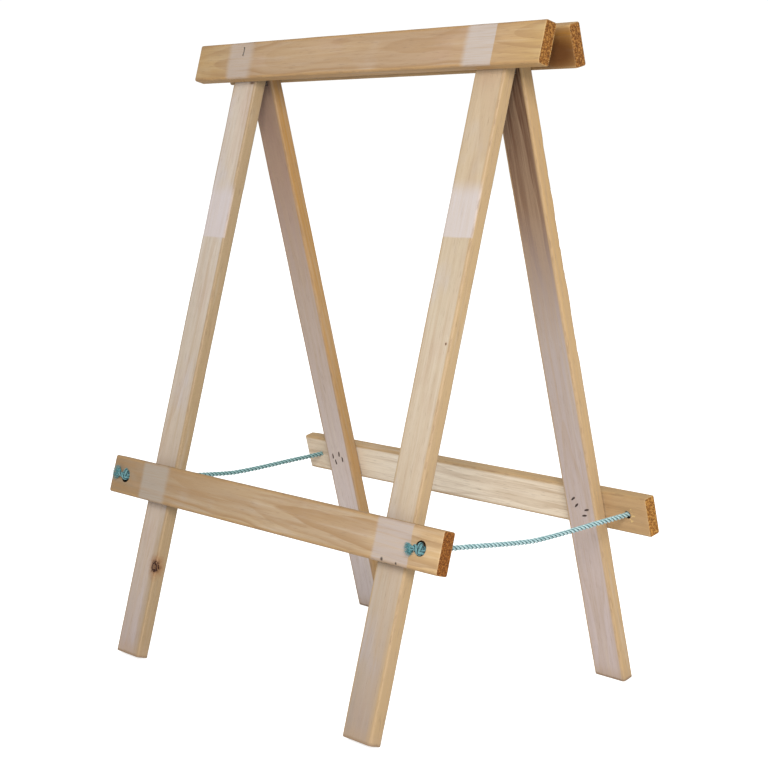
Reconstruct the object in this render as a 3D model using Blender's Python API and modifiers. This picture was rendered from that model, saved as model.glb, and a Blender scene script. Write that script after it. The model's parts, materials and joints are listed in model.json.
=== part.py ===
"""Folding wooden trestle: two batten frames, hinged together at the ridge, with two rope stays.

World frame: X runs along the ridge, the front frame leans to -Y and the rear frame to +Y, Z is up.
The origin is on the floor, under the middle of the ridge. Left is -X and right is +X.

Each frame is laid out in its own axes, whose origin is on the hinge axis: x along the ridge,
w outward from the middle of the trestle, and h up along the frame. The rear frame's x is the
world's X, and the front frame is the same frame turned half round, so its x is the world's -X.

All dimensions are in metres.
"""
import math

import bmesh
import bpy
from mathutils import Matrix, Vector

NAME = "folding_trestle"
CUTTERS = "cutters"

# Spread and overall size.
HALF_ANGLE = math.radians(14.65)  # each frame's lean from vertical
FOOT_DROP = 0.742                 # hinge axis to foot, along the frame
RIDGE_RISE = 0.034                # hinge axis to the top rails' top edge, along the frame
FIT_GAP = 0.0003                  # between pieces that touch

# Battens.
BATTEN_W = 0.047
BATTEN_T = 0.016
ARRIS_R = 0.0025
ARRIS_SEGMENTS = 3
RAIL_LENGTH = 0.620
LEG_X = 0.2225                    # leg centre from the middle
LEG_TOP_DROP = 0.0025             # leg top below the top rail's top edge
LEG_IN = 0.0017                   # hinge axis to the legs' inner faces
LEG_OUT = LEG_IN + BATTEN_T
RAIL_IN = LEG_OUT + FIT_GAP
RAIL_OUT = RAIL_IN + BATTEN_T
MITRE_HALF_GAP = 0.0032           # middle plane to the vertical cut at the legs' tops
MITRE_REACH = 0.020               # size of what is cut away there
BRACE_DROP = 0.5275               # hinge axis to the bottom rail's middle, along the frame
TOP_RAIL_H = RIDGE_RISE - BATTEN_W / 2
HINGE_Z = FOOT_DROP * math.cos(HALF_ANGLE) - LEG_IN * math.sin(HALF_ANGLE)

# Rope holes in the bottom rails.
ROPE_X = 0.280
ROPE_HOLE_R = 0.00425
KNOT_RECESS_R = 0.008
KNOT_RECESS_DEPTH = 0.009

# Rope: one half of its route, as (y, z), from the middle of the trestle to the rear knot.
ROPE_R = 0.003
HALF_ROUTE = (
    (0.0000, 0.2015),
    (0.0133, 0.2019),
    (0.0300, 0.2028),
    (0.0500, 0.2042),
    (0.0750, 0.2062),
    (0.1000, 0.2082),
    (0.1250, 0.2100),
    (0.1460, 0.2116),
    (0.1508, 0.2122),
    (0.1586, 0.2138),
    (0.1653, 0.2155),
)
BOW_PIVOT = 1                     # place in HALF_ROUTE where the bow turns on the strand
STRAND_PIVOT = 7                  # place in HALF_ROUTE where the strand turns on the rail
ROPE_STEP = 0.013
KNOT_R = 0.0076
KNOT_FLATNESS = 0.92
# The tail's route from the knot's middle: to the left, outward and up along the frame.
TAIL_ROUTE = ((0.0, 0.0, 0.0), (0.0060, 0.0050, 0.0015), (0.0110, 0.0056, 0.0028), (0.0155, 0.0052, 0.0035))

# Staples.
STAPLE_HALF_CROWN = 0.0051
STAPLE_WIRE_W = 0.0012
STAPLE_WIRE_T = 0.0010
STAPLE_SUNK = 0.0002
STAPLE_POINT = 0.0012
STAPLE_SLOT_TOP = 0.0008          # the slot's reach above the crown, out of the rail
TOP_STAPLE_TIP_W = 0.012          # the top staples end inside the legs
BRACE_STAPLE_TIP_W = 0.0007       # the bottom staples come through by 1 mm
# Each staple's crown from the joint's middle: along x to the right, up along the frame, and its turn.
TOP_STAPLES = ((0.0085, 0.0110, 90.0), (-0.0070, -0.0010, 35.0))
BRACE_STAPLES = {
    "left": ((-0.0090, 0.0021, -60.0), (0.0054, 0.0072, -50.0)),
    "right": ((-0.0097, 0.0105, -64.0), (0.0043, 0.0001, 57.0)),
}

# Butt hinges.
HINGE_HALF_LENGTH = 0.015
LEAF_IN = 0.00015
LEAF_T = 0.0012
LEAF_DROP = 0.012                 # hinge axis to the leaf's lower edge
KNUCKLE_R = 0.0026
KNUCKLE_BORE_R = 0.0015
PIN_R = 0.0012
MIDDLE_KNUCKLE_HALF = 0.0049
SCREW_X = 0.0095
SCREW_DROP = 0.0075
SCREW_HEAD_R = 0.0026
SCREW_HEAD_H = 0.0013
SCREW_R = 0.0013
SCREW_LENGTH = 0.0120
SCREW_HEAD_W = 0.00030            # hinge axis to the top of a screw's head

FRAMES = {"front": -1, "rear": 1}
SIDES = {"left": -1, "right": 1}


def clear_scene():
    for obj in list(bpy.data.objects):
        bpy.data.objects.remove(obj)


def new_collection(name):
    collection = bpy.data.collections.new(name)
    bpy.context.scene.collection.children.link(collection)
    return collection


def principled(name, color, roughness, metallic=0.0):
    material = bpy.data.materials.new(name)
    material.use_nodes = True
    shader = material.node_tree.nodes["Principled BSDF"]
    shader.inputs["Base Color"].default_value = (*color, 1.0)
    shader.inputs["Roughness"].default_value = roughness
    shader.inputs["Metallic"].default_value = metallic
    return material


# ---------------------------------------------------------------- helpers


def place(obj, parent, location=(0, 0, 0), material=None):
    """Puts a finished part in the part collection, in its parent's axes."""
    PARTS.objects.link(obj)
    obj.parent = parent
    obj.location = location
    if material is not None:
        obj.data.materials.append(material)
    return obj


def hide_cutter(obj, parent, location=(0, 0, 0)):
    """Puts a cutter in the cutter collection, in its parent's axes."""
    TOOLS.objects.link(obj)
    obj.parent = parent
    obj.location = location
    obj.hide_render = True
    obj.display_type = "WIRE"
    return obj


def boolean(target, operand, operation):
    modifier = target.modifiers.new(operand.name, "BOOLEAN")
    modifier.operation = operation
    modifier.solver = "EXACT"
    modifier.object = operand


def mesh_from(bm, name):
    mesh = bpy.data.meshes.new(name)
    bm.to_mesh(mesh)
    bm.free()
    return mesh


def box(name, low, high):
    """A box between two corners."""
    low = Vector(low)
    high = Vector(high)
    bm = bmesh.new()
    bmesh.ops.create_cube(bm, size=1.0)
    bmesh.ops.scale(bm, vec=high - low, verts=bm.verts)
    bmesh.ops.translate(bm, vec=(low + high) / 2, verts=bm.verts)
    return bpy.data.objects.new(name, mesh_from(bm, name))


def batten(name, size):
    """A planed batten round its own middle, with the arrises along its longest side rounded."""
    size = Vector(size)
    along = max(range(3), key=lambda axis: size[axis])
    bm = bmesh.new()
    bmesh.ops.create_cube(bm, size=1.0)
    bmesh.ops.scale(bm, vec=size, verts=bm.verts)
    arrises = [
        edge
        for edge in bm.edges
        if abs(edge.verts[0].co[along] - edge.verts[1].co[along]) > size[along] / 2
    ]
    bmesh.ops.bevel(bm, geom=arrises, offset=ARRIS_R, segments=ARRIS_SEGMENTS, profile=0.5, affect="EDGES")
    return bpy.data.objects.new(name, mesh_from(bm, name))


def cylinder_x(name, radius, low_x, high_x, segments=20):
    """A cylinder whose axis is the x axis."""
    bm = bmesh.new()
    bmesh.ops.create_cone(
        bm, cap_ends=True, segments=segments, radius1=radius, radius2=radius, depth=high_x - low_x
    )
    turn = Matrix.Rotation(math.pi / 2, 4, "Y")
    shift = Matrix.Translation(((low_x + high_x) / 2, 0, 0))
    bmesh.ops.transform(bm, matrix=shift @ turn, verts=bm.verts)
    return bpy.data.objects.new(name, mesh_from(bm, name))


def turned(name, profile, steps=20):
    """A turned solid: a profile of (radius, height), top to bottom, swept round the z axis."""
    mesh = bpy.data.meshes.new(name)
    points = [(radius, 0.0, height) for radius, height in profile]
    edges = [(i, i + 1) for i in range(len(points) - 1)]
    mesh.from_pydata(points, edges, [])
    obj = bpy.data.objects.new(name, mesh)
    screw = obj.modifiers.new("turn", "SCREW")
    screw.steps = steps
    screw.render_steps = steps
    screw.use_merge_vertices = True
    screw.merge_threshold = 0.00002
    return obj


def smooth_route(points, step):
    """Points about one step apart on a smooth curve through the given points."""
    points = [Vector(p) for p in points]
    first = points[0] * 2 - points[1]
    last = points[-1] * 2 - points[-2]
    knots = [first, *points, last]
    dense = []
    for before, start, end, after in zip(knots, knots[1:], knots[2:], knots[3:]):
        for k in range(16):
            t = k / 16
            dense.append(
                0.5
                * (
                    2 * start
                    + (end - before) * t
                    + (2 * before - 5 * start + 4 * end - after) * t**2
                    + (3 * start - before - 3 * end + after) * t**3
                )
            )
    dense.append(points[-1])
    travelled = [0.0]
    for a, b in zip(dense, dense[1:]):
        travelled.append(travelled[-1] + (b - a).length)
    count = max(2, round(travelled[-1] / step))
    route = []
    for k in range(count + 1):
        wanted = travelled[-1] * k / count
        i = max(j for j, run in enumerate(travelled) if run <= wanted + 1e-9)
        i = min(i, len(dense) - 2)
        share = (wanted - travelled[i]) / (travelled[i + 1] - travelled[i])
        route.append(dense[i].lerp(dense[i + 1], share))
    return route


def rope_curve(name, points):
    """A round rope along a list of points, with flat ends."""
    curve = bpy.data.curves.new(name, "CURVE")
    curve.dimensions = "3D"
    curve.bevel_depth = ROPE_R
    curve.bevel_resolution = 3
    curve.use_fill_caps = True
    spline = curve.splines.new("POLY")
    spline.points.add(len(points) - 1)
    for spot, point in zip(spline.points, points):
        spot.co = (*point, 1.0)
    return bpy.data.objects.new(name, curve)


def curve_to_mesh(curve_object):
    """The evaluated mesh of a curve object, with its caps welded on. The curve is removed."""
    bpy.context.scene.collection.objects.link(curve_object)
    bpy.context.view_layer.update()
    evaluated = curve_object.evaluated_get(bpy.context.evaluated_depsgraph_get())
    mesh = bpy.data.meshes.new_from_object(evaluated)
    bpy.data.objects.remove(curve_object)
    bm = bmesh.new()
    bm.from_mesh(mesh)
    bmesh.ops.remove_doubles(bm, verts=bm.verts, dist=0.00001)
    bmesh.ops.recalc_face_normals(bm, faces=bm.faces)
    bm.to_mesh(mesh)
    bm.free()
    return mesh


# ---------------------------------------------------------------- battens


def leg(frame, side_name, parent, x, mitre):
    top = RIDGE_RISE - LEG_TOP_DROP
    obj = batten(f"{frame}_leg_{side_name}", (BATTEN_W, BATTEN_T, top + FOOT_DROP))
    place(obj, parent, (x, (LEG_IN + LEG_OUT) / 2, (top - FOOT_DROP) / 2), PINE_LEG)
    boolean(obj, mitre, "DIFFERENCE")
    return obj


def mitre_cutter(name, frame):
    """What a frame's leg tops lose, so that they stay on their own side of the middle plane."""
    near = -frame * MITRE_REACH
    far = frame * MITRE_HALF_GAP
    cutter = box(
        f"{name}_mitre",
        (-RAIL_LENGTH / 2, min(near, far), HINGE_Z - MITRE_REACH),
        (RAIL_LENGTH / 2, max(near, far), HINGE_Z + 2 * MITRE_REACH),
    )
    return hide_cutter(cutter, None)


def rail(frame, level, parent, h):
    obj = batten(f"{frame}_{level}_rail", (RAIL_LENGTH, BATTEN_T, BATTEN_W))
    return place(obj, parent, (0, (RAIL_IN + RAIL_OUT) / 2, h), PINE_RAIL)


def drill_rope_hole(board, parent, x):
    """A through hole with a wider recess for the knot on the rail's outer face."""
    profile = (
        (0.0, 0.002),
        (KNOT_RECESS_R, 0.002),
        (KNOT_RECESS_R, -KNOT_RECESS_DEPTH),
        (ROPE_HOLE_R, -KNOT_RECESS_DEPTH),
        (ROPE_HOLE_R, -BATTEN_T - 0.002),
        (0.0, -BATTEN_T - 0.002),
    )
    cutter = turned(f"{board.name}_hole_{'a' if x < 0 else 'b'}", profile, steps=28)
    hide_cutter(cutter, parent, (x, RAIL_OUT, -BRACE_DROP))
    cutter.rotation_euler = (-math.pi / 2, 0, 0)
    boolean(board, cutter, "DIFFERENCE")


# ---------------------------------------------------------------- staples


def staple_mesh(name, tip_w, grow, top):
    """A staple with its crown along x and its points towards -w, or the slot that it sits in."""
    length = RAIL_OUT - STAPLE_SUNK - tip_w
    outer = STAPLE_HALF_CROWN + grow
    inner = STAPLE_HALF_CROWN - STAPLE_WIRE_W - grow
    crown = -STAPLE_WIRE_W - grow
    tip = -length - grow
    shoulder = tip + STAPLE_POINT
    outline = (
        (-outer, top),
        (-outer, tip),
        (-inner, shoulder),
        (-inner, crown),
        (inner, crown),
        (inner, shoulder),
        (outer, tip),
        (outer, top),
    )
    curve = bpy.data.curves.new(name, "CURVE")
    curve.dimensions = "2D"
    curve.fill_mode = "BOTH"
    curve.extrude = STAPLE_WIRE_T / 2 + grow
    spline = curve.splines.new("POLY")
    spline.use_cyclic_u = True
    spline.points.add(len(outline) - 1)
    for spot, point in zip(spline.points, outline):
        spot.co = (*point, 0.0, 1.0)
    return curve_to_mesh(bpy.data.objects.new(name, curve))


def staple_in(name, tip_w, grow, top, spot, turn):
    """A staple, or its slot, at its place in the frame's axes."""
    mesh = staple_mesh(name, tip_w, grow, top)
    mesh.transform(Matrix.Translation(spot) @ Matrix.Rotation(-turn, 4, "Y"))
    return bpy.data.objects.new(name, mesh)


def staple_joint(name, parent, joint, boards, staples, side, tip_w):
    """Fastens a rail to a leg: the staples, and their slots in both boards."""
    for number, (right, up, turn) in enumerate(staples, start=1):
        spot = Vector((joint.x + right * side, RAIL_OUT - STAPLE_SUNK, joint.z + up))
        angle = math.radians(turn) * side
        obj = staple_in(f"{name}_{number}", tip_w, 0.0, 0.0, spot, angle)
        place(obj, parent, material=STAPLE_STEEL)
        slot = staple_in(f"{name}_{number}_slot", tip_w, FIT_GAP, STAPLE_SLOT_TOP, spot, angle)
        hide_cutter(slot, parent)
        for board in boards:
            boolean(board, slot, "DIFFERENCE")


# ---------------------------------------------------------------- hinges


def screw_profile(grow):
    """A countersunk wood screw, head up, as a profile to be turned."""
    return (
        (0.0, grow),
        (SCREW_HEAD_R + grow, grow),
        (SCREW_HEAD_R + grow, -0.0002),
        (SCREW_R + grow, -SCREW_HEAD_H),
        (SCREW_R + grow, -SCREW_LENGTH * 0.75),
        (0.0, -SCREW_LENGTH - grow),
    )


def hinge_leaf(name, parent, x, knuckles):
    """One leaf: a plate on the leg's inner face, with its own knuckles round the pin."""
    plate = box(
        name,
        (-HINGE_HALF_LENGTH, LEAF_IN, -LEAF_DROP),
        (HINGE_HALF_LENGTH, LEAF_IN + LEAF_T, -KNUCKLE_R - FIT_GAP),
    )
    place(plate, parent, (x, 0, 0), ZINC_STEEL)
    for number, (low, high) in enumerate(knuckles):
        barrel = cylinder_x(f"{name}_knuckle_{number}", KNUCKLE_R, low, high)
        hide_cutter(barrel, parent, (x, 0, 0))
        boolean(plate, barrel, "UNION")
        tab = box(
            f"{name}_tab_{number}",
            (low, LEAF_IN, -KNUCKLE_R - 0.001),
            (high, LEAF_IN + LEAF_T, 0.0),
        )
        hide_cutter(tab, parent, (x, 0, 0))
        boolean(plate, tab, "UNION")
    reach = HINGE_HALF_LENGTH + 0.002
    bore = cylinder_x(f"{name}_bore", KNUCKLE_BORE_R, -reach, reach, segments=16)
    hide_cutter(bore, parent, (x, 0, 0))
    boolean(plate, bore, "DIFFERENCE")
    return plate


def screw_at(name, grow):
    """A screw, or its hole, turned with its head towards the middle of the trestle."""
    obj = turned(name, screw_profile(grow), steps=14)
    obj.rotation_euler = (math.pi / 2, 0, 0)
    return obj


def hinge_screws(name, parent, x, leaf, board):
    """Two screws through a leaf into the leg, and their holes in both."""
    for number, end in enumerate((-1, 1), start=1):
        spot = (x + end * SCREW_X, SCREW_HEAD_W, -SCREW_DROP)
        place(screw_at(f"{name}_{number}", 0.0), parent, spot, ZINC_STEEL)
        hole = hide_cutter(screw_at(f"{name}_{number}_hole", FIT_GAP), parent, spot)
        boolean(leaf, hole, "DIFFERENCE")
        boolean(board, hole, "DIFFERENCE")


def hinge_pin(name, parent, x):
    """The pin, with rounded ends, along the ridge."""
    half = HINGE_HALF_LENGTH
    rounding = PIN_R * 0.4
    profile = (
        (0.0, half),
        (PIN_R - rounding, half),
        (PIN_R, half - rounding),
        (PIN_R, rounding - half),
        (PIN_R - rounding, -half),
        (0.0, -half),
    )
    obj = turned(name, profile, steps=16)
    place(obj, parent, (x, 0, 0), ZINC_STEEL)
    obj.rotation_euler = (0, math.pi / 2, 0)


# ---------------------------------------------------------------- ropes


def half_route(frame, side):
    """One half of a rope's route in world points, from the middle to the frame's knot."""
    return [Vector((side * ROPE_X, frame * y, z)) for y, z in HALF_ROUTE]


def pivot_empty(name, location, parent):
    empty = bpy.data.objects.new(name, None)
    PARTS.objects.link(empty)
    empty.parent = parent
    bpy.context.view_layer.update()
    inverse = parent.matrix_world.inverted()
    empty.matrix_parent_inverse = inverse
    empty.location = location
    bpy.context.view_layer.update()
    return empty


def rope_stretch(name, parent, route, low, high):
    """The rope between two places in a route, a little short at each end."""
    points = smooth_route(route[low : high + 1], ROPE_STEP)
    points[0] = points[0] + (points[1] - points[0]).normalized() * FIT_GAP / 2
    points[-1] = points[-1] + (points[-2] - points[-1]).normalized() * FIT_GAP / 2
    origin = parent.matrix_world.translation
    obj = rope_curve(name, [point - origin for point in points])
    place(obj, parent, material=ROPE_FIBRE)


def rope_knot(name, parent, frame, route):
    """The knot on the rail's outer face, its short tail, and the rope through the hole."""
    centre = route[-1]
    inverse = parent.matrix_world.inverted()
    bm = bmesh.new()
    bmesh.ops.create_uvsphere(bm, u_segments=16, v_segments=10, radius=KNOT_R)
    bmesh.ops.scale(bm, vec=(1.0, KNOT_FLATNESS, 1.0), verts=bm.verts)
    knot = bpy.data.objects.new(name, mesh_from(bm, name))
    place(knot, parent, inverse @ centre, ROPE_FIBRE)

    through = smooth_route(route[STRAND_PIVOT:], 0.005)
    through[0] = through[0] + (through[1] - through[0]).normalized() * FIT_GAP / 2
    lead = [inverse @ point for point in through]
    tail = [Vector((-frame * left, out, up)) for left, out, up in TAIL_ROUTE]
    end = [inverse @ centre + point for point in smooth_route(tail, 0.004)]
    for label, points in (("lead", lead), ("tail", end)):
        stretch_mesh = curve_to_mesh(rope_curve(f"{name}_{label}", points))
        stretch = hide_cutter(bpy.data.objects.new(f"{name}_{label}", stretch_mesh), parent)
        boolean(knot, stretch, "UNION")


def rope_half(frame_name, side_name, parent):
    """One half of a rope: its knot on the frame, its strand, and its half of the bow."""
    frame = FRAMES[frame_name]
    route = half_route(frame, SIDES[side_name])
    label = f"rope_{side_name}_{frame_name}"
    rope_knot(f"{label}_knot", parent, frame, route)
    strand_pivot = pivot_empty(f"{label}_strand_pivot", route[STRAND_PIVOT], parent)
    bow_pivot = pivot_empty(f"{label}_bow_pivot", route[BOW_PIVOT], strand_pivot)
    # The pivots' empties stand square to the world, so that the ropes' points need no turning.
    rope_stretch(f"{label}_strand", strand_pivot, route, BOW_PIVOT, STRAND_PIVOT)
    rope_stretch(f"{label}_bow", bow_pivot, route, 0, BOW_PIVOT)


# ---------------------------------------------------------------- assembly


def frame_empty(name, frame):
    empty = bpy.data.objects.new(f"{name}_frame", None)
    PARTS.objects.link(empty)
    empty.location = (0, 0, HINGE_Z)
    empty.rotation_euler = (HALF_ANGLE, 0, 0 if frame > 0 else math.pi)
    bpy.context.view_layer.update()
    return empty


def build_frame(name):
    frame = FRAMES[name]
    parent = frame_empty(name, frame)
    top_rail = rail(name, "top", parent, TOP_RAIL_H)
    bottom_rail = rail(name, "bottom", parent, -BRACE_DROP)
    mitre = mitre_cutter(name, frame)
    for side_name, side in SIDES.items():
        x = frame * side * LEG_X
        board = leg(name, side_name, parent, x, mitre)
        staple_joint(
            f"{name}_top_{side_name}_staple",
            parent,
            Vector((x, 0, TOP_RAIL_H)),
            (top_rail, board),
            TOP_STAPLES,
            frame,
            TOP_STAPLE_TIP_W,
        )
        staple_joint(
            f"{name}_bottom_{side_name}_staple",
            parent,
            Vector((x, 0, -BRACE_DROP)),
            (bottom_rail, board),
            BRACE_STAPLES[side_name],
            frame,
            BRACE_STAPLE_TIP_W,
        )
        drill_rope_hole(bottom_rail, parent, frame * side * ROPE_X)

        half = HINGE_HALF_LENGTH
        middle = MIDDLE_KNUCKLE_HALF
        outer_knuckles = ((-half, -middle - FIT_GAP), (middle + FIT_GAP, half))
        knuckles = outer_knuckles if frame < 0 else ((-middle, middle),)
        leaf = hinge_leaf(f"hinge_{side_name}_{name}_leaf", parent, x, knuckles)
        hinge_screws(f"hinge_{side_name}_{name}_screw", parent, x, leaf, board)
        if frame < 0:
            hinge_pin(f"hinge_{side_name}_pin", parent, x)
        rope_half(name, side_name, parent)


clear_scene()
PARTS = new_collection(NAME)
TOOLS = new_collection(CUTTERS)
PINE_RAIL = principled("pine_rail", (0.62, 0.44, 0.25), 0.62)
PINE_LEG = principled("pine_leg", (0.66, 0.52, 0.38), 0.62)
STAPLE_STEEL = principled("staple_steel", (0.30, 0.29, 0.28), 0.45, 1.0)
ZINC_STEEL = principled("zinc_steel", (0.62, 0.62, 0.60), 0.38, 1.0)
ROPE_FIBRE = principled("rope_fibre", (0.16, 0.48, 0.50), 0.55)

for frame_name in FRAMES:
    build_frame(frame_name)
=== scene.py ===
"""Looks for the folding wooden trestle: pine battens, butt hinges, staples and two laid ropes.

Everything is in metres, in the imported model's frame: X along the ridge, front to -Y, Z up.
A frame's own axes, with their origin on the hinge axis, are x along the ridge, w outward from
the middle of the trestle and h up along the frame. Each batten's mesh is laid out in its own
axes: x along the grain, y across its width and z through its thickness, outward.
"""

import json
import math
import random

import bpy
import numpy as np
from mathutils import Matrix, Vector, noise
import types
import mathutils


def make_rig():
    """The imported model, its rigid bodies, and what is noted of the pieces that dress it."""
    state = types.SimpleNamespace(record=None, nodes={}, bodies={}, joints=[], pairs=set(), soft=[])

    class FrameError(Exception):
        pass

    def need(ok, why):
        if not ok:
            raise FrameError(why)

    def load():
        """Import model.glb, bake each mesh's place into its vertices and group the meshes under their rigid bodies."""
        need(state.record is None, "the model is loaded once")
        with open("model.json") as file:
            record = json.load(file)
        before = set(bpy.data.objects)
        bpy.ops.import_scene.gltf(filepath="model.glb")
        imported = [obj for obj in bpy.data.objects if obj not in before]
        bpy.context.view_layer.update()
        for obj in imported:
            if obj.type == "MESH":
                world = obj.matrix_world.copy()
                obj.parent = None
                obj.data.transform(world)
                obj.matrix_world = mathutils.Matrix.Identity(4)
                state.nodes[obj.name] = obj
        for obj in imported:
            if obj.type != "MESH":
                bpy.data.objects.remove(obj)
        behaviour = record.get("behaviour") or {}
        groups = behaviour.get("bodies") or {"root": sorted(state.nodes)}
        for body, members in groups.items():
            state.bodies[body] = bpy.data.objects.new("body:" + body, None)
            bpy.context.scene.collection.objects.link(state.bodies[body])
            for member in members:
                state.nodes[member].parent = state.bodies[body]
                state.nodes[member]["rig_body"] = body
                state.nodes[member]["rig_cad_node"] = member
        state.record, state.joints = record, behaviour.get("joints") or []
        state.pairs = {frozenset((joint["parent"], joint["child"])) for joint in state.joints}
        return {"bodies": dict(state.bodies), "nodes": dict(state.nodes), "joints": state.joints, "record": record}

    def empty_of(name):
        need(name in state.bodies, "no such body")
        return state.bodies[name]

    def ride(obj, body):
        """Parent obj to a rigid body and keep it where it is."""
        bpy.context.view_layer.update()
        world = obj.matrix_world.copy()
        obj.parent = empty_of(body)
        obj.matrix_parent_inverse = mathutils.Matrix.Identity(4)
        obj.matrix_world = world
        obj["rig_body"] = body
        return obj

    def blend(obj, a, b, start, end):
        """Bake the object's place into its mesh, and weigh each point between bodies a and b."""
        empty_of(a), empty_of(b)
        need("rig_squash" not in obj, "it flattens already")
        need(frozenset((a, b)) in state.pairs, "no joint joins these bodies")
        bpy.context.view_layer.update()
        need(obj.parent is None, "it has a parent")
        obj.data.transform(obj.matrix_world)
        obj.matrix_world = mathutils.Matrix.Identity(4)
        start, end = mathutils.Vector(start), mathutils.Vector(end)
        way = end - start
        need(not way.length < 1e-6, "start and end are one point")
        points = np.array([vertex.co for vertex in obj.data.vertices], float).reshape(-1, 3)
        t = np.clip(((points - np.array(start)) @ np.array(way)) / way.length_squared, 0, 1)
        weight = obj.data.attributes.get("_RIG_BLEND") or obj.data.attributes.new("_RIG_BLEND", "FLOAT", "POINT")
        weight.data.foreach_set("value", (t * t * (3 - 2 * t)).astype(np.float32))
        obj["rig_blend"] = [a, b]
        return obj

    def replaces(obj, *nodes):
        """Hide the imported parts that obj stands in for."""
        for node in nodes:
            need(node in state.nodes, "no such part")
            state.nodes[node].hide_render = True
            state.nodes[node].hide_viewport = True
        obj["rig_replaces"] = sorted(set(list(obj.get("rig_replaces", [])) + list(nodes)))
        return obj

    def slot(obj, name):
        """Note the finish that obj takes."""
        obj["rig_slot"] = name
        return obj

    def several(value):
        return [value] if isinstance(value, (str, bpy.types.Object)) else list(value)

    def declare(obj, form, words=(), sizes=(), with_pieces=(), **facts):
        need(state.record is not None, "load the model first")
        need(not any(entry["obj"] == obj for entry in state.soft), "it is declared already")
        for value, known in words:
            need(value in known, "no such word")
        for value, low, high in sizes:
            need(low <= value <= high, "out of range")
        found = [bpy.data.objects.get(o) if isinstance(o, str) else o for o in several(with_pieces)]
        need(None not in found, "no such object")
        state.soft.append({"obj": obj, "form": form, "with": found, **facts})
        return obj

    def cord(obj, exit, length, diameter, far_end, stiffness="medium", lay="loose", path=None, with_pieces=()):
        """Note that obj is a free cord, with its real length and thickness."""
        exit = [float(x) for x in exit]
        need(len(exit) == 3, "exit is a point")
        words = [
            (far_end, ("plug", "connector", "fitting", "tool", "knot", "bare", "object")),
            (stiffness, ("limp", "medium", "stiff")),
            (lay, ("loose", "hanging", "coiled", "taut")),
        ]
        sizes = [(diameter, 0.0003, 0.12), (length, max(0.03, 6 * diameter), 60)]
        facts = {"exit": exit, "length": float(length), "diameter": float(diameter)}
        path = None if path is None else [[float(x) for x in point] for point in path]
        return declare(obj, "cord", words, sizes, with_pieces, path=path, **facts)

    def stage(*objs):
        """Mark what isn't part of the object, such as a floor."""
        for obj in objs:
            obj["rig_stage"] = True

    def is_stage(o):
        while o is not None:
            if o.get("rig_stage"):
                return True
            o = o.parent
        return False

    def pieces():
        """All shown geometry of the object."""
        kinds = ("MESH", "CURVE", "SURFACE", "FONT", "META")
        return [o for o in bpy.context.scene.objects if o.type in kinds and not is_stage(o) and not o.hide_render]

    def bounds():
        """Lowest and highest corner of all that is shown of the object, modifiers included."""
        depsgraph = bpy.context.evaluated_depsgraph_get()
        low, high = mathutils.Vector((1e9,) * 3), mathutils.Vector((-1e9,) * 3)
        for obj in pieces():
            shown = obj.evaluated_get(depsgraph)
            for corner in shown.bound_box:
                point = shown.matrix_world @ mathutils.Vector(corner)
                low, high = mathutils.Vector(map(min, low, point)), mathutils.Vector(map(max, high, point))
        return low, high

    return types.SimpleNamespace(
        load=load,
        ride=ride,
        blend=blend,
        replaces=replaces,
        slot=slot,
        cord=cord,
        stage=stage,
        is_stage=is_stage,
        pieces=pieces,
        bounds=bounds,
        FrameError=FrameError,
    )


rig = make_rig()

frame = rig.load()
CAD_BOX = [list(corner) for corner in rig.bounds()]

# ---------------------------------------------------------------- the frame's dimensions

HALF_ANGLE = math.radians(14.65)
HINGE_Z = 0.7174468
FOOT_DROP = 0.742
LEG_TOP = 0.0315
LEG_X = 0.2225
LEG_IN = 0.0017
LEG_OUT = 0.0177
RAIL_IN = 0.0180
RAIL_OUT = 0.0340
RAIL_LENGTH = 0.620
TOP_RAIL_H = 0.0105
BRACE_DROP = 0.5275
BATTEN_W = 0.047
BATTEN_T = 0.016
MITRE_HALF_GAP = 0.0032
MITRE_REACH = 0.020

ROPE_X = 0.280
ROPE_HOLE_R = 0.00425
KNOT_RECESS_R = 0.008
KNOT_RECESS_DEPTH = 0.009
ROPE_D = 0.006
# One half of a rope's route, as (y, z), from the middle of the trestle to the rear knot.
HALF_ROUTE = (
    (0.0000, 0.2015),
    (0.0133, 0.2019),
    (0.0300, 0.2028),
    (0.0500, 0.2042),
    (0.0750, 0.2062),
    (0.1000, 0.2082),
    (0.1250, 0.2100),
    (0.1460, 0.2116),
    (0.1508, 0.2122),
    (0.1586, 0.2138),
    (0.1653, 0.2155),
)
BOW_PIVOT = 1
STRAND_SPLIT = 4
STRAND_PIVOT = 7

STAPLE_HALF_CROWN = 0.0051
STAPLE_WIRE = 0.0012
STAPLE_SLOT_GAP = 0.0003
TOP_STAPLES = ((0.0085, 0.0110, 90.0), (-0.0070, -0.0010, 35.0))
BRACE_STAPLES = {
    "left": ((-0.0090, 0.0021, -60.0), (0.0054, 0.0072, -50.0)),
    "right": ((-0.0097, 0.0105, -64.0), (0.0043, 0.0001, 57.0)),
}

SHOWN_CROWN = ("top", "left", 0)    # the only crown on the front rails that isn't driven under
CLINCH_LENGTH = 0.0062
CLINCH_TURNS = {"left": (86.0, 97.0, 82.0, 93.0), "right": (36.0, 41.0, 10.0, 16.0)}

FRAMES = {"front": -1, "rear": 1}
SIDES = {"left": -1, "right": 1}


def frame_axes(sign):
    """A frame's x, w and h directions in the world, and its origin."""
    c = math.cos(HALF_ANGLE)
    s = math.sin(HALF_ANGLE)
    along = Vector((sign, 0, 0))
    out = Vector((0, sign * c, s))
    up = Vector((0, -sign * s, c))
    return along, out, up, Vector((0, 0, HINGE_Z))


def frame_point(sign, world_x, w, h):
    _, out, up, origin = frame_axes(sign)
    return origin + Vector((world_x, 0, 0)) + out * w + up * h


# ---------------------------------------------------------------- camera, stage and light

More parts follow.
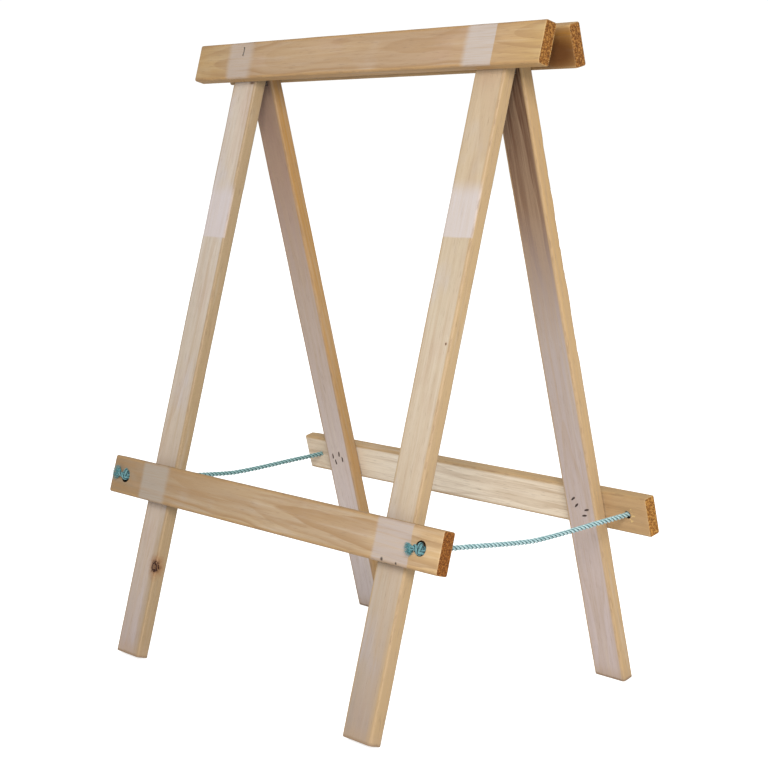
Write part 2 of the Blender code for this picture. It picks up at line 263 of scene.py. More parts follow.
CAMERA_AT = (1.6426, -1.3840, 0.6102)
CAMERA_YAW = math.radians(49.425)
CAMERA_PITCH = math.radians(-6.986)
CAMERA_ROLL = math.radians(0.302)
CAMERA_LENS = 84.66
SENSOR = 36.0
FLOOR_HALF = 30.0
FLOOR_GAP = 0.0004
FLOOR_GLOW = 0.75
SKY_LIGHT = 0.63
SURROUND_SEEN = 1.05
KEY_AT = (2.3, -2.0, 1.6)
KEY_AIM = (0, 0, 0.40)
KEY_SIZE = 1.1
KEY_POWER = 96


def link(obj):
    bpy.context.scene.collection.objects.link(obj)
    return obj


def make_camera():
    data = bpy.data.cameras.new("camera")
    data.lens = CAMERA_LENS
    data.sensor_width = SENSOR
    camera = link(bpy.data.objects.new("camera", data))
    level = math.cos(CAMERA_PITCH)
    right = Vector((math.cos(CAMERA_YAW), math.sin(CAMERA_YAW), 0))
    ahead = Vector((-right.y * level, right.x * level, math.sin(CAMERA_PITCH)))
    up = right.cross(ahead)
    across = right * math.cos(CAMERA_ROLL) + up * math.sin(CAMERA_ROLL)
    upward = up * math.cos(CAMERA_ROLL) - right * math.sin(CAMERA_ROLL)
    turn = Matrix((across, upward, -ahead)).transposed()
    camera.matrix_world = Matrix.Translation(CAMERA_AT) @ turn.to_4x4()
    bpy.context.scene.camera = camera


def key_light():
    data = bpy.data.lights.new("key", "AREA")
    data.shape = "SQUARE"
    data.size = KEY_SIZE
    data.energy = KEY_POWER
    light = link(bpy.data.objects.new("key", data))
    light.location = KEY_AT
    aim = Vector(KEY_AIM) - Vector(KEY_AT)
    light.rotation_euler = aim.to_track_quat("-Z", "Y").to_euler()


def seen_by_camera(tree):
    """1 for rays straight from the camera, 0 for light that bounces."""
    return tree.nodes.new("ShaderNodeLightPath").outputs["Is Camera Ray"]


def scaled(tree, value, by, plus):
    made = tree.nodes.new("ShaderNodeMath")
    made.operation = "MULTIPLY_ADD"
    tree.links.new(value, made.inputs[0])
    made.inputs[1].default_value = by
    made.inputs[2].default_value = plus
    return made.outputs[0]


def make_stage():
    """A white floor that runs into a white surround, with soft light from the right and above."""
    mesh = bpy.data.meshes.new("floor")
    corners = [(-FLOOR_HALF, -FLOOR_HALF, 0), (FLOOR_HALF, -FLOOR_HALF, 0)]
    corners += [(FLOOR_HALF, FLOOR_HALF, 0), (-FLOOR_HALF, FLOOR_HALF, 0)]
    mesh.from_pydata(corners, [], [(0, 1, 2, 3)])
    floor = link(bpy.data.objects.new("floor", mesh))
    floor.location = (0, 0, -FLOOR_GAP)
    white = bpy.data.materials.new("floor_white")
    white.use_nodes = True
    tree = white.node_tree
    shader = tree.nodes["Principled BSDF"]
    shader.inputs["Base Color"].default_value = (0.88, 0.88, 0.88, 1)
    shader.inputs["Roughness"].default_value = 0.9
    shader.inputs["Specular IOR Level"].default_value = 0.1
    shader.inputs["Emission Color"].default_value = (1, 1, 1, 1)
    glow = scaled(tree, seen_by_camera(tree), FLOOR_GLOW, 0.0)
    tree.links.new(glow, shader.inputs["Emission Strength"])
    mesh.materials.append(white)
    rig.stage(floor)

    world = bpy.data.worlds.new("surround")
    world.use_nodes = True
    tree = world.node_tree
    background = tree.nodes["Background"]
    background.inputs["Color"].default_value = (1, 1, 1, 1)
    strength = scaled(tree, seen_by_camera(tree), SURROUND_SEEN - SKY_LIGHT, SKY_LIGHT)
    tree.links.new(strength, background.inputs["Strength"])
    bpy.context.scene.world = world
    key_light()
    bpy.context.scene.view_settings.view_transform = "Standard"
    bpy.context.scene.view_settings.look = "None"


make_camera()
make_stage()

# ---------------------------------------------------------------- material graphs


class Field:
    """A value in a material's graph; arithmetic on it adds the nodes that work it out."""

    def __init__(self, graph, socket):
        self.graph = graph
        self.socket = socket

    def __add__(self, other):
        return self.graph.math("ADD", self, other)

    def __radd__(self, other):
        return self.graph.math("ADD", other, self)

    def __sub__(self, other):
        return self.graph.math("SUBTRACT", self, other)

    def __rsub__(self, other):
        return self.graph.math("SUBTRACT", other, self)

    def __mul__(self, other):
        return self.graph.math("MULTIPLY", self, other)

    def __truediv__(self, other):
        return self.graph.math("DIVIDE", self, other)

    def __abs__(self):
        return self.graph.math("ABSOLUTE", self)

    def ease(self, low, high, start=0.0, end=1.0):
        """Smooth step from start to end as the value goes from low to high."""
        made = self.graph.node("MapRange", interpolation_type="SMOOTHSTEP")
        for socket, number in zip(made.inputs, (self, low, high, start, end)):
            self.graph.put(socket, number)
        return Field(self.graph, made.outputs[0])


class Graph:
    """A Principled material, with short calls for the nodes that drive it."""

    def __init__(self, name, shift=(0.0, 0.0, 0.0)):
        self.material = bpy.data.materials.new(name)
        self.material.use_nodes = True
        self.tree = self.material.node_tree
        self.shader = self.tree.nodes["Principled BSDF"]
        self.shift = shift
        self.color = None
        self.coordinates = self.node("TexCoord").outputs["Object"]
        self.place = self.split(self.coordinates)

    def node(self, kind, **settings):
        made = self.tree.nodes.new("ShaderNode" + kind)
        for key, value in settings.items():
            setattr(made, key, value)
        return made

    def put(self, socket, value):
        """Links a socket, or sets a number, colour or vector."""
        if isinstance(value, Field):
            self.tree.links.new(value.socket, socket)
        elif isinstance(value, bpy.types.NodeSocket):
            self.tree.links.new(value, socket)
        elif isinstance(value, (tuple, list)) and len(value) == 3 and socket.type == "RGBA":
            socket.default_value = (*value, 1.0)
        else:
            socket.default_value = value

    def split(self, vector):
        """The three parts of a vector."""
        made = self.node("SeparateXYZ")
        self.put(made.inputs[0], vector)
        return [Field(self, output) for output in made.outputs]

    def math(self, operation, *values):
        made = self.node("Math", operation=operation)
        for socket, value in zip(made.inputs, values):
            self.put(socket, value)
        return Field(self, made.outputs[0])

    def mix(self, factor, a, b, blend="MIX"):
        made = self.node("Mix", data_type="RGBA", blend_type=blend, clamp_factor=True)
        self.put(made.inputs[0], factor)
        self.put(made.inputs[6], a)
        self.put(made.inputs[7], b)
        return made.outputs[2]

    def coat(self, factor, tint, blend="MIX"):
        """Lays a tint over the colour so far."""
        self.color = self.mix(factor, self.color, tint, blend)

    def noise(self, scale, detail, roughness, distortion=0.0, shift=None, vector=None):
        """Noise from 0 to 1, in the piece's own axes, with a scale for each direction."""
        mapping = self.node("Mapping", vector_type="POINT")
        self.put(mapping.inputs["Vector"], vector or self.coordinates)
        self.put(mapping.inputs["Scale"], scale)
        self.put(mapping.inputs["Location"], shift or self.shift)
        made = self.node("TexNoise")
        self.put(made.inputs["Vector"], mapping.outputs[0])
        self.put(made.inputs["Scale"], 1.0)
        self.put(made.inputs["Detail"], detail)
        self.put(made.inputs["Roughness"], roughness)
        self.put(made.inputs["Distortion"], distortion)
        return Field(self, made.outputs["Fac"])

    def light_and_shade_ramp(self, stops):
        """Painted light and shade along a board, with some colour change, from (place, red, green, blue) stops."""
        low, high = stops[0][0], stops[-1][0]
        made = self.node("ValToRGB")
        self.put(made.inputs[0], (self.place[0] - low) / (high - low))
        elements = made.color_ramp.elements
        while len(elements) < len(stops):
            elements.new(0.5)
        for element, (place, *tint) in zip(elements, stops):
            element.position = (place - low) / (high - low)
            element.color = (*tint, 1.0)
        return made.outputs[0]

    def finish(self, roughness, bump, **constants):
        """Links the colour, the roughness and a bump of (height, strength, distance)."""
        made = self.node("Bump")
        for key, value in zip(("Height", "Strength", "Distance"), bump):
            self.put(made.inputs[key], value)
        self.put(self.shader.inputs["Normal"], made.outputs[0])
        self.put(self.shader.inputs["Base Color"], self.color)
        self.put(self.shader.inputs["Roughness"], roughness)
        for key, value in constants.items():
            self.put(self.shader.inputs[SOCKETS[key]], value)
        return self.material


SOCKETS = {"specular": "Specular IOR Level", "metallic": "Metallic", "sheen": "Sheen Weight"}


def distance(place, spot, stretch=(1.0, 1.0, 1.0)):
    """Distance from a spot, with each direction scaled."""
    offs = [(value - centre) * scale for value, centre, scale in zip(place, spot, stretch)]
    return offs[0].graph.math("SQRT", sum(off * off for off in offs))


# ---------------------------------------------------------------- pine

RAIL_TONES = {
    "early": (0.480, 0.345, 0.205),
    "late": (0.300, 0.178, 0.082),
    "broad": (0.440, 0.318, 0.200),
    "grey": (0.500, 0.400, 0.300),
    "edge": (0.455, 0.300, 0.140),
    "inner": (0.550, 0.450, 0.335),
}
LEG_TONES = {
    "early": (0.530, 0.420, 0.305),
    "late": (0.360, 0.250, 0.155),
    "broad": (0.500, 0.400, 0.290),
    "grey": (0.500, 0.425, 0.370),
    "edge": (0.480, 0.330, 0.165),
    "inner": (0.510, 0.425, 0.395),
}
PALE_PATCH = (0.540, 0.465, 0.415)
PALE_STREAK = (0.600, 0.510, 0.410)
ROSY = (0.460, 0.320, 0.230)
EDGE_START = 0.0235
CRISP = 0.0010
TORN = (0.620, 0.440, 0.180)
TORN_SOFT = 0.0008
# The colour of painted shadows.
PAINTED_SHADOW = (0.100, 0.036, 0.008)
KNOT_BROWN = (0.026, 0.005, 0.001)
KNOT_HALO = (0.230, 0.090, 0.030)
DIRT = (0.180, 0.115, 0.070)
SLASH = (0.016, 0.010, 0.007)
BRUISE_LENGTH = 0.0046
BRUISE_WIDTH = 0.0016
SPECULAR = 0.20
# Noise scales per metre: along the grain, across it, and through the thickness.
WANDER = (3.2, 16.0, 16.0)
SWAY = (11.0, 30.0, 30.0)
BROAD = (4.0, 38.0, 26.0)
CLOUD = (9.0, 16.0, 16.0)
STREAKS = (6.0, 150.0, 110.0)
FIBRES = (14.0, 700.0, 500.0)
FLECKS = (60.0, 1500.0, 1200.0)
SCRAPS = (260.0, 420.0, 300.0)
GRIME = (22.0, 160.0, 160.0)
GRIMY_PLACES = (5.0, 20.0, 20.0)
WEAR = (60.0, 200.0, 200.0)
CURL = (160.0, 160.0, 160.0)


def moved(seed, x, y, z):
    """A board's own place in a noise."""
    return (seed * x, seed * y, seed * z)


def growth(graph, spec):
    """Distance from the pith, bent by slow wander and round the knots, in ring widths."""
    x, y, z = graph.place
    shift = moved(spec["seed"], 1.7, 0.9, 2.3)
    wander = graph.noise(WANDER, 2.0, 0.45, shift=shift)
    sway = graph.noise(SWAY, 1.0, 0.5, shift=shift)
    tilt_y, tilt_z = spec["tilt"]
    pith_y, pith_z = spec["pith"]
    radius = distance((y - x * tilt_y, z - x * tilt_z), (pith_y, pith_z))
    radius = radius + wander * 0.022 + sway * 0.0045
    for *spot, size in spec["knots"]:
        away = distance(graph.place, spot, (0.35, 1.0, 1.0))
        radius = radius + graph.math("POWER", 2.718, away / (-1.6 * size)) * (1.9 * size)
    return radius / spec["ring"]


def ring_lines(graph, phase):
    """Darkness of the latewood lines, each ring a little different."""
    part = graph.math("FRACT", phase)
    own = graph.node("TexWhiteNoise", noise_dimensions="1D")
    graph.put(own.inputs["W"], graph.math("FLOOR", phase))
    strength = Field(graph, own.outputs["Value"]).ease(0.0, 1.0, 0.25, 1.0)
    return part.ease(0.30, 0.90) * part.ease(0.93, 1.0, 1.0, 0.0) * strength


def pine(name, spec, tones):
    """Planed pine: growth rings, fibre streaks, dirt, knots, pale patches, warm narrow edges, painted light and shade
    along the board, and painted shadow spots.
    """
    graph = Graph(name, moved(spec["seed"], 3.1, 1.3, 0.7))
    x, y, z = graph.place
    lines = ring_lines(graph, growth(graph, spec))

    broad = graph.noise(BROAD, 3.0, 0.55)
    graph.color = graph.mix(broad.ease(0.38, 0.62, 0.0, 0.9), tones["early"], tones["broad"])
    cloud = graph.noise(CLOUD, 3.0, 0.6)
    graph.coat(cloud.ease(0.50, 0.68, 0.0, 0.75), tones["grey"])
    graph.coat(cloud.ease(0.28, 0.46, 0.40, 0.0), ROSY)

    # Inner faces are duller, narrow edges warmer.
    inward = z.ease(-0.0080, -0.0062, 1.0, 0.0)
    outward = z.ease(0.0055, 0.0078)
    graph.coat(inward * 0.85, tones["inner"])
    # The tint is painted light and shade along the board: darker where less light falls, and darkest in the shade
    # under and between the top rails.
    tint = graph.light_and_shade_ramp(spec["tint"])
    graph.coat(1.0, tint, "MULTIPLY")
    side = abs(y)
    edge_tone = tuple(a * b for a, b in zip(tones["edge"], spec["edge"]))
    graph.coat(side.ease(EDGE_START - 0.0046, EDGE_START - 0.0016) * 0.85, edge_tone)
    for near_y, far_y, low, high, strength in spec["warm"]:
        beside = (y + (broad - 0.5) * 0.008).ease(near_y, far_y, strength, 0.0)
        graph.coat(beside * x.ease(low, high, 1.0, 0.0) * outward, edge_tone)

    graph.coat(lines * spec["contrast"], tones["late"])
    streaks = graph.noise(STREAKS, 3.0, 0.6)
    graph.coat(streaks.ease(0.50, 0.72, 0.0, 0.34 * spec["streaks"]), tones["late"])
    graph.coat(streaks.ease(0.28, 0.48, 0.28, 0.0), graph.mix(1.0, PALE_STREAK, tint, "MULTIPLY"))
    fibres = graph.noise(FIBRES, 4.0, 0.62)
    graph.coat(fibres.ease(0.30, 0.52, 0.30, 0.0), tones["late"])
    flecks = graph.noise(FLECKS, 1.0, 0.5)
    graph.coat(flecks.ease(0.62, 0.76, 0.0, 0.45), DIRT)

    for low, high, soft_low, soft_high, strength, level in spec["pale"]:
        rough_x = x + (cloud - 0.5) * (soft_low * 2.5)
        rise = rough_x.ease(low - soft_low, low + soft_low)
        far_x = rough_x if soft_high > CRISP else x
        fall = far_x.ease(high - soft_high, high + soft_high, 1.0, 0.0)
        thin = fibres.ease(0.25, 0.60, 0.55, 1.0)
        chalky = tuple(part * channel for part, channel in zip(level, PALE_PATCH))
        graph.coat(rise * fall * outward * thin * strength, chalky)
    # Painted shadows: dark spots where shade falls, in the gap between the top rails and just under the top rail's
    # lower edge.
    for spot_x, spot_y, size, stretch_x, strength, face in spec["stains"]:
        away = distance((x, y), (spot_x, spot_y), (stretch_x, 1.0))
        shadowed = away.ease(size * 0.2, size, strength, 0.0)
        graph.coat(shadowed * (outward if face > 0 else inward), PAINTED_SHADOW)
    for spot_x, spot_y, inner_r, outer_r in spec["torn"]:
        away = distance((x, y), (spot_x, spot_y))
        around = away.ease(inner_r - TORN_SOFT, inner_r + TORN_SOFT)
        around = around * away.ease(outer_r - TORN_SOFT, outer_r + TORN_SOFT, 1.0, 0.0)
        near = around * graph.noise(SCRAPS, 1.0, 0.4).ease(0.56, 0.62)
        graph.coat(near * inward * 0.8, TORN)

    # Grime in streaks along the grain. The arrises are darkened all along as painted shade, with dirt on top where
    # they are rubbed.
    grime = graph.noise(GRIME, 4.0, 0.65, 0.3)
    where = graph.noise(GRIMY_PLACES, 1.0, 0.5)
    graph.coat(grime.ease(0.56, 0.72) * where.ease(0.45, 0.70) * spec["grime"], DIRT)
    arris = side.ease(EDGE_START - 0.0032, EDGE_START - 0.0007) * abs(z).ease(0.0058, 0.0076)
    worn = graph.noise(WEAR, 3.0, 0.6)
    # painted shade along every arris
    graph.coat(arris * 0.35, tones["late"])
    graph.coat(arris * worn.ease(0.48, 0.68) * 0.45, DIRT)

    if spec["foot"] is not None:
        ragged_x = x + (fibres - 0.5) * 0.004
        graph.coat(ragged_x.ease(spec["foot"] + 0.0014, spec["foot"] + 0.0042, 0.90, 0.0), DIRT)
        graph.coat(ragged_x.ease(spec["foot"], spec["foot"] + 0.022, 0.45, 0.0), tones["late"])

    for *spot, size in spec["knots"]:
        away = distance(graph.place, spot, (0.8, 1.0, 1.0))
        ragged = away + (graph.noise(CURL, 3.0, 0.6, 0.8) - 0.5) * (size * 1.1)
        graph.coat(ragged.ease(size * 0.4, size * 1.4, 0.60, 0.0), KNOT_HALO)
        core = ragged.ease(size * 0.46, size * 0.72)
        whorl = graph.math("SINE", ragged * (14.0 / size)).ease(-0.2, 0.7, 1.0, 0.45)
        graph.coat((1.0 - core) * whorl, KNOT_BROWN)
    for spot_x, spot_y, size, face in spec["marks"]:
        away = distance((x, y), (spot_x, spot_y))
        graph.coat(away.ease(size * 0.3, size, 0.85, 0.0) * (outward if face > 0 else inward), SLASH)
    for centre_x, centre_y, angle in spec["bruises"]:
        off_x = x - centre_x
        off_y = y - centre_y
        length = off_x * math.cos(angle) + off_y * math.sin(angle)
        width = off_y * math.cos(angle) + off_x * -math.sin(angle)
        away = distance((length, width), (0.0, 0.0), (1.0 / BRUISE_LENGTH, 1.0 / BRUISE_WIDTH))
        bruised = (away + (fibres - 0.5) * 0.5).ease(0.55, 1.0, 1.0, 0.0)
        graph.coat(bruised * inward, SLASH)

    height = fibres * 0.55 + lines * 0.30 + grime * 0.25 + flecks * -0.25
    roughness = fibres.ease(0.2, 0.8, 0.50, 0.68) + lines * -0.08 + arris * -0.06
    return graph.finish(roughness, (height, 0.55, 0.00022), specular=SPECULAR)


def end_grain(name, spec):
    """Sawn end: orange-brown arcs of growth rings, open pores and pale torn fibres at the rim."""
    seed = spec["seed"]
    graph = Graph(name, moved(seed, 1.1, 2.1, 0.4))
    _, y, z = graph.place
    lines = ring_lines(graph, growth(graph, spec))

    def shade(*tint):
        return tuple(part * channel for part, channel in zip(spec["end"], tint))

    graph.color = graph.mix(lines * 0.55, shade(0.335, 0.128, 0.026), shade(0.165, 0.056, 0.011))
    grain = graph.noise((300.0, 620.0, 620.0), 3.0, 0.75)
    graph.coat(grain.ease(0.50, 0.60), shade(0.112, 0.036, 0.008))
    pores = graph.noise((300.0, 900.0, 900.0), 2.0, 0.7)
    graph.coat(pores.ease(0.60, 0.68, 0.0, 0.8), shade(0.070, 0.026, 0.009))
    pale = graph.noise((300.0, 760.0, 760.0), 2.0, 0.6, shift=(7.0, seed, 2.0))
    graph.coat(pale.ease(0.56, 0.64, 0.0, 0.90), shade(0.600, 0.300, 0.080))
    specks = graph.noise((300.0, 340.0, 340.0), 1.0, 0.5, shift=(seed, 3.0, 1.0))
    graph.coat(specks.ease(0.54, 0.60, 0.0, spec["specks"]), shade(0.115, 0.040, 0.009))
    graph.coat(specks.ease(0.38, 0.45, spec["specks"], 0.0), shade(0.580, 0.290, 0.080))
    side = abs(y).ease(EDGE_START - 0.0020, EDGE_START)
    rim = graph.math("MAXIMUM", side, abs(z).ease(0.0060, 0.0080))
    graph.coat(rim * pale.ease(0.42, 0.58) * 0.80, shade(0.600, 0.400, 0.190))
    saw = graph.noise((100.0, 120.0, 1400.0), 2.0, 0.5)
    graph.coat(saw.ease(0.52, 0.68, 0.0, 0.30), shade(0.130, 0.050, 0.015))
    height = pores * -0.6 + pale * 0.6 + saw
    return graph.finish(pores.ease(0.3, 0.7, 0.75, 0.92), (height, 0.8, 0.0005), specular=SPECULAR)


# ---------------------------------------------------------------- battens

ARC_STEPS = 3        # steps from an arris's middle to where the flat starts
WIDE_STEPS = 12      # flat steps across the width
THIN_STEPS = 4       # flat steps through the thickness
STATION_STEP = 0.0045
DRILL_STEPS = 56     # points round a rope hole
MOUTH = 0.001        # how far a hole's torn mouth reaches
MOUTH_TORN = 0.00022
BORE_TORN = 0.00005
ARRIS_R = 0.0026
ARRIS_WANDER = 0.0005
ARRIS_NICKS = 0.0002
ARRIS_LEAST = 0.0014
ARRIS_MOST = 0.0068
FACE_WAVES = 0.00007
SAWN_ROUGH = 0.00022
SAWN_LINES = 0.00014
SHARP = math.radians(38)
SHARP_CORNER = math.radians(50)
END_EASE = ((0.0, 0.00050), (0.0002, 0.00022), (0.0006, 0.00008), (0.0016, 0.0))


def new_mesh(name, points, faces, materials=None):
    mesh = bpy.data.meshes.new(name)
    mesh.from_pydata([tuple(point) for point in points], [], faces)
    if materials:
        mesh.polygons.foreach_set("material_index", materials)
    mesh.update()
    return mesh


def tube_faces(rings, around, base=0):
    """Quads between rings of points that follow each other."""
    faces = []
    for ring in range(rings - 1):
        for k in range(around):
            a = base + ring * around + k
            b = base + ring * around + (k + 1) % around
            faces.append((a, b, b + around, a + around))
    return faces


def slow(value, seed, period):
    """Smooth noise along a line, from -1 to 1."""
    return noise.noise(Vector((value / period, seed * 7.3, seed * 3.1)))


def side_steps(length, start, end, flats):
    """Places along one side of the outline, and how far each is drawn in by the arrises."""
    places = []
    for k in range(ARC_STEPS):
        angle = math.pi / 4 * (1 - k / ARC_STEPS)
        places.append((start * (1 - math.sin(angle)), start * (1 - math.cos(angle))))
    for k in range(flats + 1):
        places.append((start + (length - start - end) * k / flats, 0.0))
    for k in range(1, ARC_STEPS + 1):
        angle = math.pi / 4 * k / ARC_STEPS
        places.append((length - end * (1 - math.sin(angle)), end * (1 - math.cos(angle))))
    return places


def outline(radii, inset):
    """The batten's section with four arris radii, as (y, z), counted round from the low corner."""
    half_w = BATTEN_W / 2 - inset
    half_t = BATTEN_T / 2 - inset
    wide = 2 * half_w
    thin = 2 * half_t
    points = []
    for run, draw in side_steps(wide, radii[0], radii[1], WIDE_STEPS)[:-1]:
        points.append((-half_w + run, -half_t + draw))
    for run, draw in side_steps(thin, radii[1], radii[2], THIN_STEPS)[:-1]:
        points.append((half_w - draw, -half_t + run))
    for run, draw in side_steps(wide, radii[2], radii[3], WIDE_STEPS)[:-1]:
        points.append((half_w - run, half_t - draw))
    for run, draw in side_steps(thin, radii[3], radii[0], THIN_STEPS)[:-1]:
        points.append((-half_w + draw, half_t - run))
    return np.array(points)


def arris_radii(spec, x):
    """The four arrises' radii at one place: planed round, then rubbed and chipped."""
    radii = []
    for corner in range(4):
        radius = ARRIS_R + ARRIS_WANDER * slow(x, spec["seed"] + corner, 0.045)
        radius += ARRIS_NICKS * slow(x, spec["seed"] + corner + 11, 0.009)
        for centre, half, chipped, depth in spec["chips"]:
            if chipped == corner:
                near = max(0.0, 1.0 - abs(x - centre) / half)
                ragged = 0.65 + 0.6 * slow(x, corner + centre, 0.006)
                radius += depth * min(1.0, near * 2.5) * ragged
        radii.append(min(max(radius, ARRIS_LEAST), ARRIS_MOST))
    return radii


def stations(low, high):
    eased = [low + run for run, _ in END_EASE]
    count = round((high - low - 2 * END_EASE[-1][0]) / STATION_STEP)
    inner = np.linspace(low + END_EASE[-1][0], high - END_EASE[-1][0], count + 1)[1:-1]
    places = [(x, inset) for x, (_, inset) in zip(eased, END_EASE)]
    places += [(x, 0.0) for x in inner]
    places += [(high - run, inset) for run, inset in reversed(END_EASE)]
    return places


def end_patch(ring, wide, thin):
    """A grid of points that fills an outline, from its four sides."""
    bottom = [ring[k] for k in range(wide + 1)]
    right = [ring[wide + k] for k in range(thin + 1)]
    top = [ring[(2 * wide + thin - k)] for k in range(wide + 1)]
    left = [ring[(2 * wide + 2 * thin - k) % len(ring)] for k in range(thin + 1)]
    grid = np.zeros((thin + 1, wide + 1, 2))
    for j in range(thin + 1):
        v = j / thin
        for i in range(wide + 1):
            u = i / wide
            sides = (1 - v) * bottom[i] + v * top[i] + (1 - u) * left[j] + u * right[j]
            corners = (
                (1 - u) * (1 - v) * bottom[0]
                + u * (1 - v) * bottom[-1]
                + (1 - u) * v * top[0]
                + u * v * top[-1]
            )
            grid[j, i] = sides - corners
    return grid


def batten_mesh(name, low, high, spec):
    """A batten as rings along its length and a rough grid at each sawn end."""
    wide = 2 * ARC_STEPS + WIDE_STEPS
    thin = 2 * ARC_STEPS + THIN_STEPS
    count = 2 * (wide + thin)
    places = stations(low, high)
    middle = (low + high) / 2
    half = (high - low) / 2
    rings = []
    points = []
    for x, inset in places:
        ring = outline(arris_radii(spec, x), inset)
        share = 1 - ((x - middle) / half) ** 2
        ring = ring + np.array((spec["bow"][0] * share, spec["bow"][1] * share))
        rings.append(ring)
        for y, z in ring:
            lift = FACE_WAVES * noise.noise(Vector((x * 28, y * 60 + spec["seed"], z * 60)))
            points.append((x, y + math.copysign(lift, y), z + math.copysign(lift, z)))
    faces = [(a, d, c, b) for a, b, c, d in tube_faces(len(places), count)]
    ends = [0] * len(faces)
    for k, sign in ((0, -1), (len(places) - 1, 1)):
        grid = end_patch(rings[k], wide, thin)
        x = places[k][0]
        index = {}
        for i in range(wide + 1):
            index[0, i] = k * count + i
            index[thin, i] = k * count + 2 * wide + thin - i
        for j in range(thin + 1):
            index[j, wide] = k * count + wide + j
            index[j, 0] = k * count + (2 * wide + 2 * thin - j) % count
        for j in range(1, thin):
            for i in range(1, wide):
                y, z = grid[j, i]
                rough = SAWN_ROUGH * noise.noise(Vector((x * 9 + spec["seed"], y * 900, z * 900)))
                rough += SAWN_LINES * noise.noise(Vector((spec["seed"], y * 220, z * 1500)))
                index[j, i] = len(points)
                points.append((x - sign * (0.0001 + rough), y, z))
        for j in range(thin):
            for i in range(wide):
                quad = (index[j, i], index[j, i + 1], index[j + 1, i + 1], index[j + 1, i])
                faces.append(quad if sign > 0 else quad[::-1])
                ends.append(1)
    return new_mesh(name, points, faces, ends)


def cut(obj, cutters):
    """Takes the cutters out of a mesh object, for good."""
    for cutter in cutters:
        modifier = obj.modifiers.new(cutter.name, "BOOLEAN")
        modifier.operation = "DIFFERENCE"
        modifier.solver = "EXACT"
        modifier.object = cutter
    bpy.context.view_layer.update()
    evaluated = obj.evaluated_get(bpy.context.evaluated_depsgraph_get())
    mesh = bpy.data.meshes.new_from_object(evaluated)
    obj.modifiers.clear()
    obj.data = mesh
    for cutter in cutters:
        bpy.data.objects.remove(cutter)


def block(name, low, high):
    """A box cutter between two corners."""
    low = Vector(low)
    high = Vector(high)
    corners = [(x, y, z) for x in (low.x, high.x) for y in (low.y, high.y) for z in (low.z, high.z)]
    faces = [(0, 1, 3, 2), (4, 6, 7, 5), (0, 4, 5, 1), (2, 3, 7, 6), (0, 2, 6, 4), (1, 5, 7, 3)]
    return link(bpy.data.objects.new(name, new_mesh(name, corners, faces, [1] * len(faces))))


def drill(name, sign, world_x, seed):
    """The rope hole and the knot's recess, with slightly torn mouths."""
    along, out, up, _ = frame_axes(sign)
    centre = frame_point(sign, world_x, RAIL_OUT, -BRACE_DROP)
    profile = (
        (KNOT_RECESS_R + 0.0007, 0.0030),
        (KNOT_RECESS_R + 0.0005, 0.0002),
        (KNOT_RECESS_R, -0.0005),
        (KNOT_RECESS_R, -KNOT_RECESS_DEPTH),
        (ROPE_HOLE_R, -KNOT_RECESS_DEPTH - 0.0004),
        (ROPE_HOLE_R, -BATTEN_T + 0.0005),
        (ROPE_HOLE_R + 0.0006, -BATTEN_T - 0.0003),
        (ROPE_HOLE_R + 0.0008, -BATTEN_T - 0.0030),
    )
    points = []
    for radius, depth in profile:
        at_a_mouth = -MOUTH < depth < MOUTH or depth < -BATTEN_T + MOUTH
        torn = MOUTH_TORN if at_a_mouth else BORE_TORN
        for k in range(DRILL_STEPS):
            angle = 2 * math.pi * k / DRILL_STEPS
            c = math.cos(angle)
            s = math.sin(angle)
            wobble = radius + torn * noise.noise(Vector((c * 5, s * 5, seed)))
            points.append(centre + (along * c + up * s) * wobble + out * depth)
    faces = tube_faces(len(profile), DRILL_STEPS)
    faces.append(tuple(reversed(range(DRILL_STEPS))))
    faces.append(tuple(range((len(profile) - 1) * DRILL_STEPS, len(profile) * DRILL_STEPS)))
    mesh = new_mesh(name, points, faces, [1] * len(faces))
    if outward_volume(mesh) < 0:
        mesh.flip_normals()
    return link(bpy.data.objects.new(name, mesh))


def outward_volume(mesh):
    """Signed volume: positive when the faces point out."""
    volume = 0.0
    for polygon in mesh.polygons:
        corners = [mesh.vertices[i].co for i in polygon.vertices]
        for a, b in zip(corners[1:], corners[2:]):
            volume += corners[0].dot(a.cross(b)) / 6
    return volume


def crown_slot(name, sign, joint_x, joint_h, staple):
    """The slit that a staple's crown lies in, on a rail's outer face."""
    right, up_by, turn = staple
    along, out, up, _ = frame_axes(sign)
    side = joint_x * sign
    spot = frame_point(sign, 0, RAIL_OUT, joint_h) + along * side
    spot += along * right * sign + up * up_by
    angle = math.radians(turn) * sign
    crown = along * math.cos(angle) + up * math.sin(angle)
    across = up * math.cos(angle) - along * math.sin(angle)
    reach = STAPLE_HALF_CROWN + STAPLE_SLOT_GAP
    half = STAPLE_WIRE / 2 + STAPLE_SLOT_GAP
    slot = block(name, (-reach, -half, -0.0016), (reach, half, 0.0010))
    turn_to = Matrix((crown, across, out)).transposed()
    if turn_to.determinant() < 0:
        slot.data.flip_normals()
    slot.data.transform(Matrix.Translation(spot) @ turn_to.to_4x4())
    return slot


def finish_piece(obj, body, slot, *nodes):
    """Rounds the shading, and ties a piece to its body, its slot and the CAD nodes it stands for."""
    obj.data.shade_smooth()
    obj.data.set_sharp_from_angle(angle=SHARP)
    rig.ride(obj, body)
    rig.slot(obj, slot)
    if nodes:
        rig.replaces(obj, *nodes)


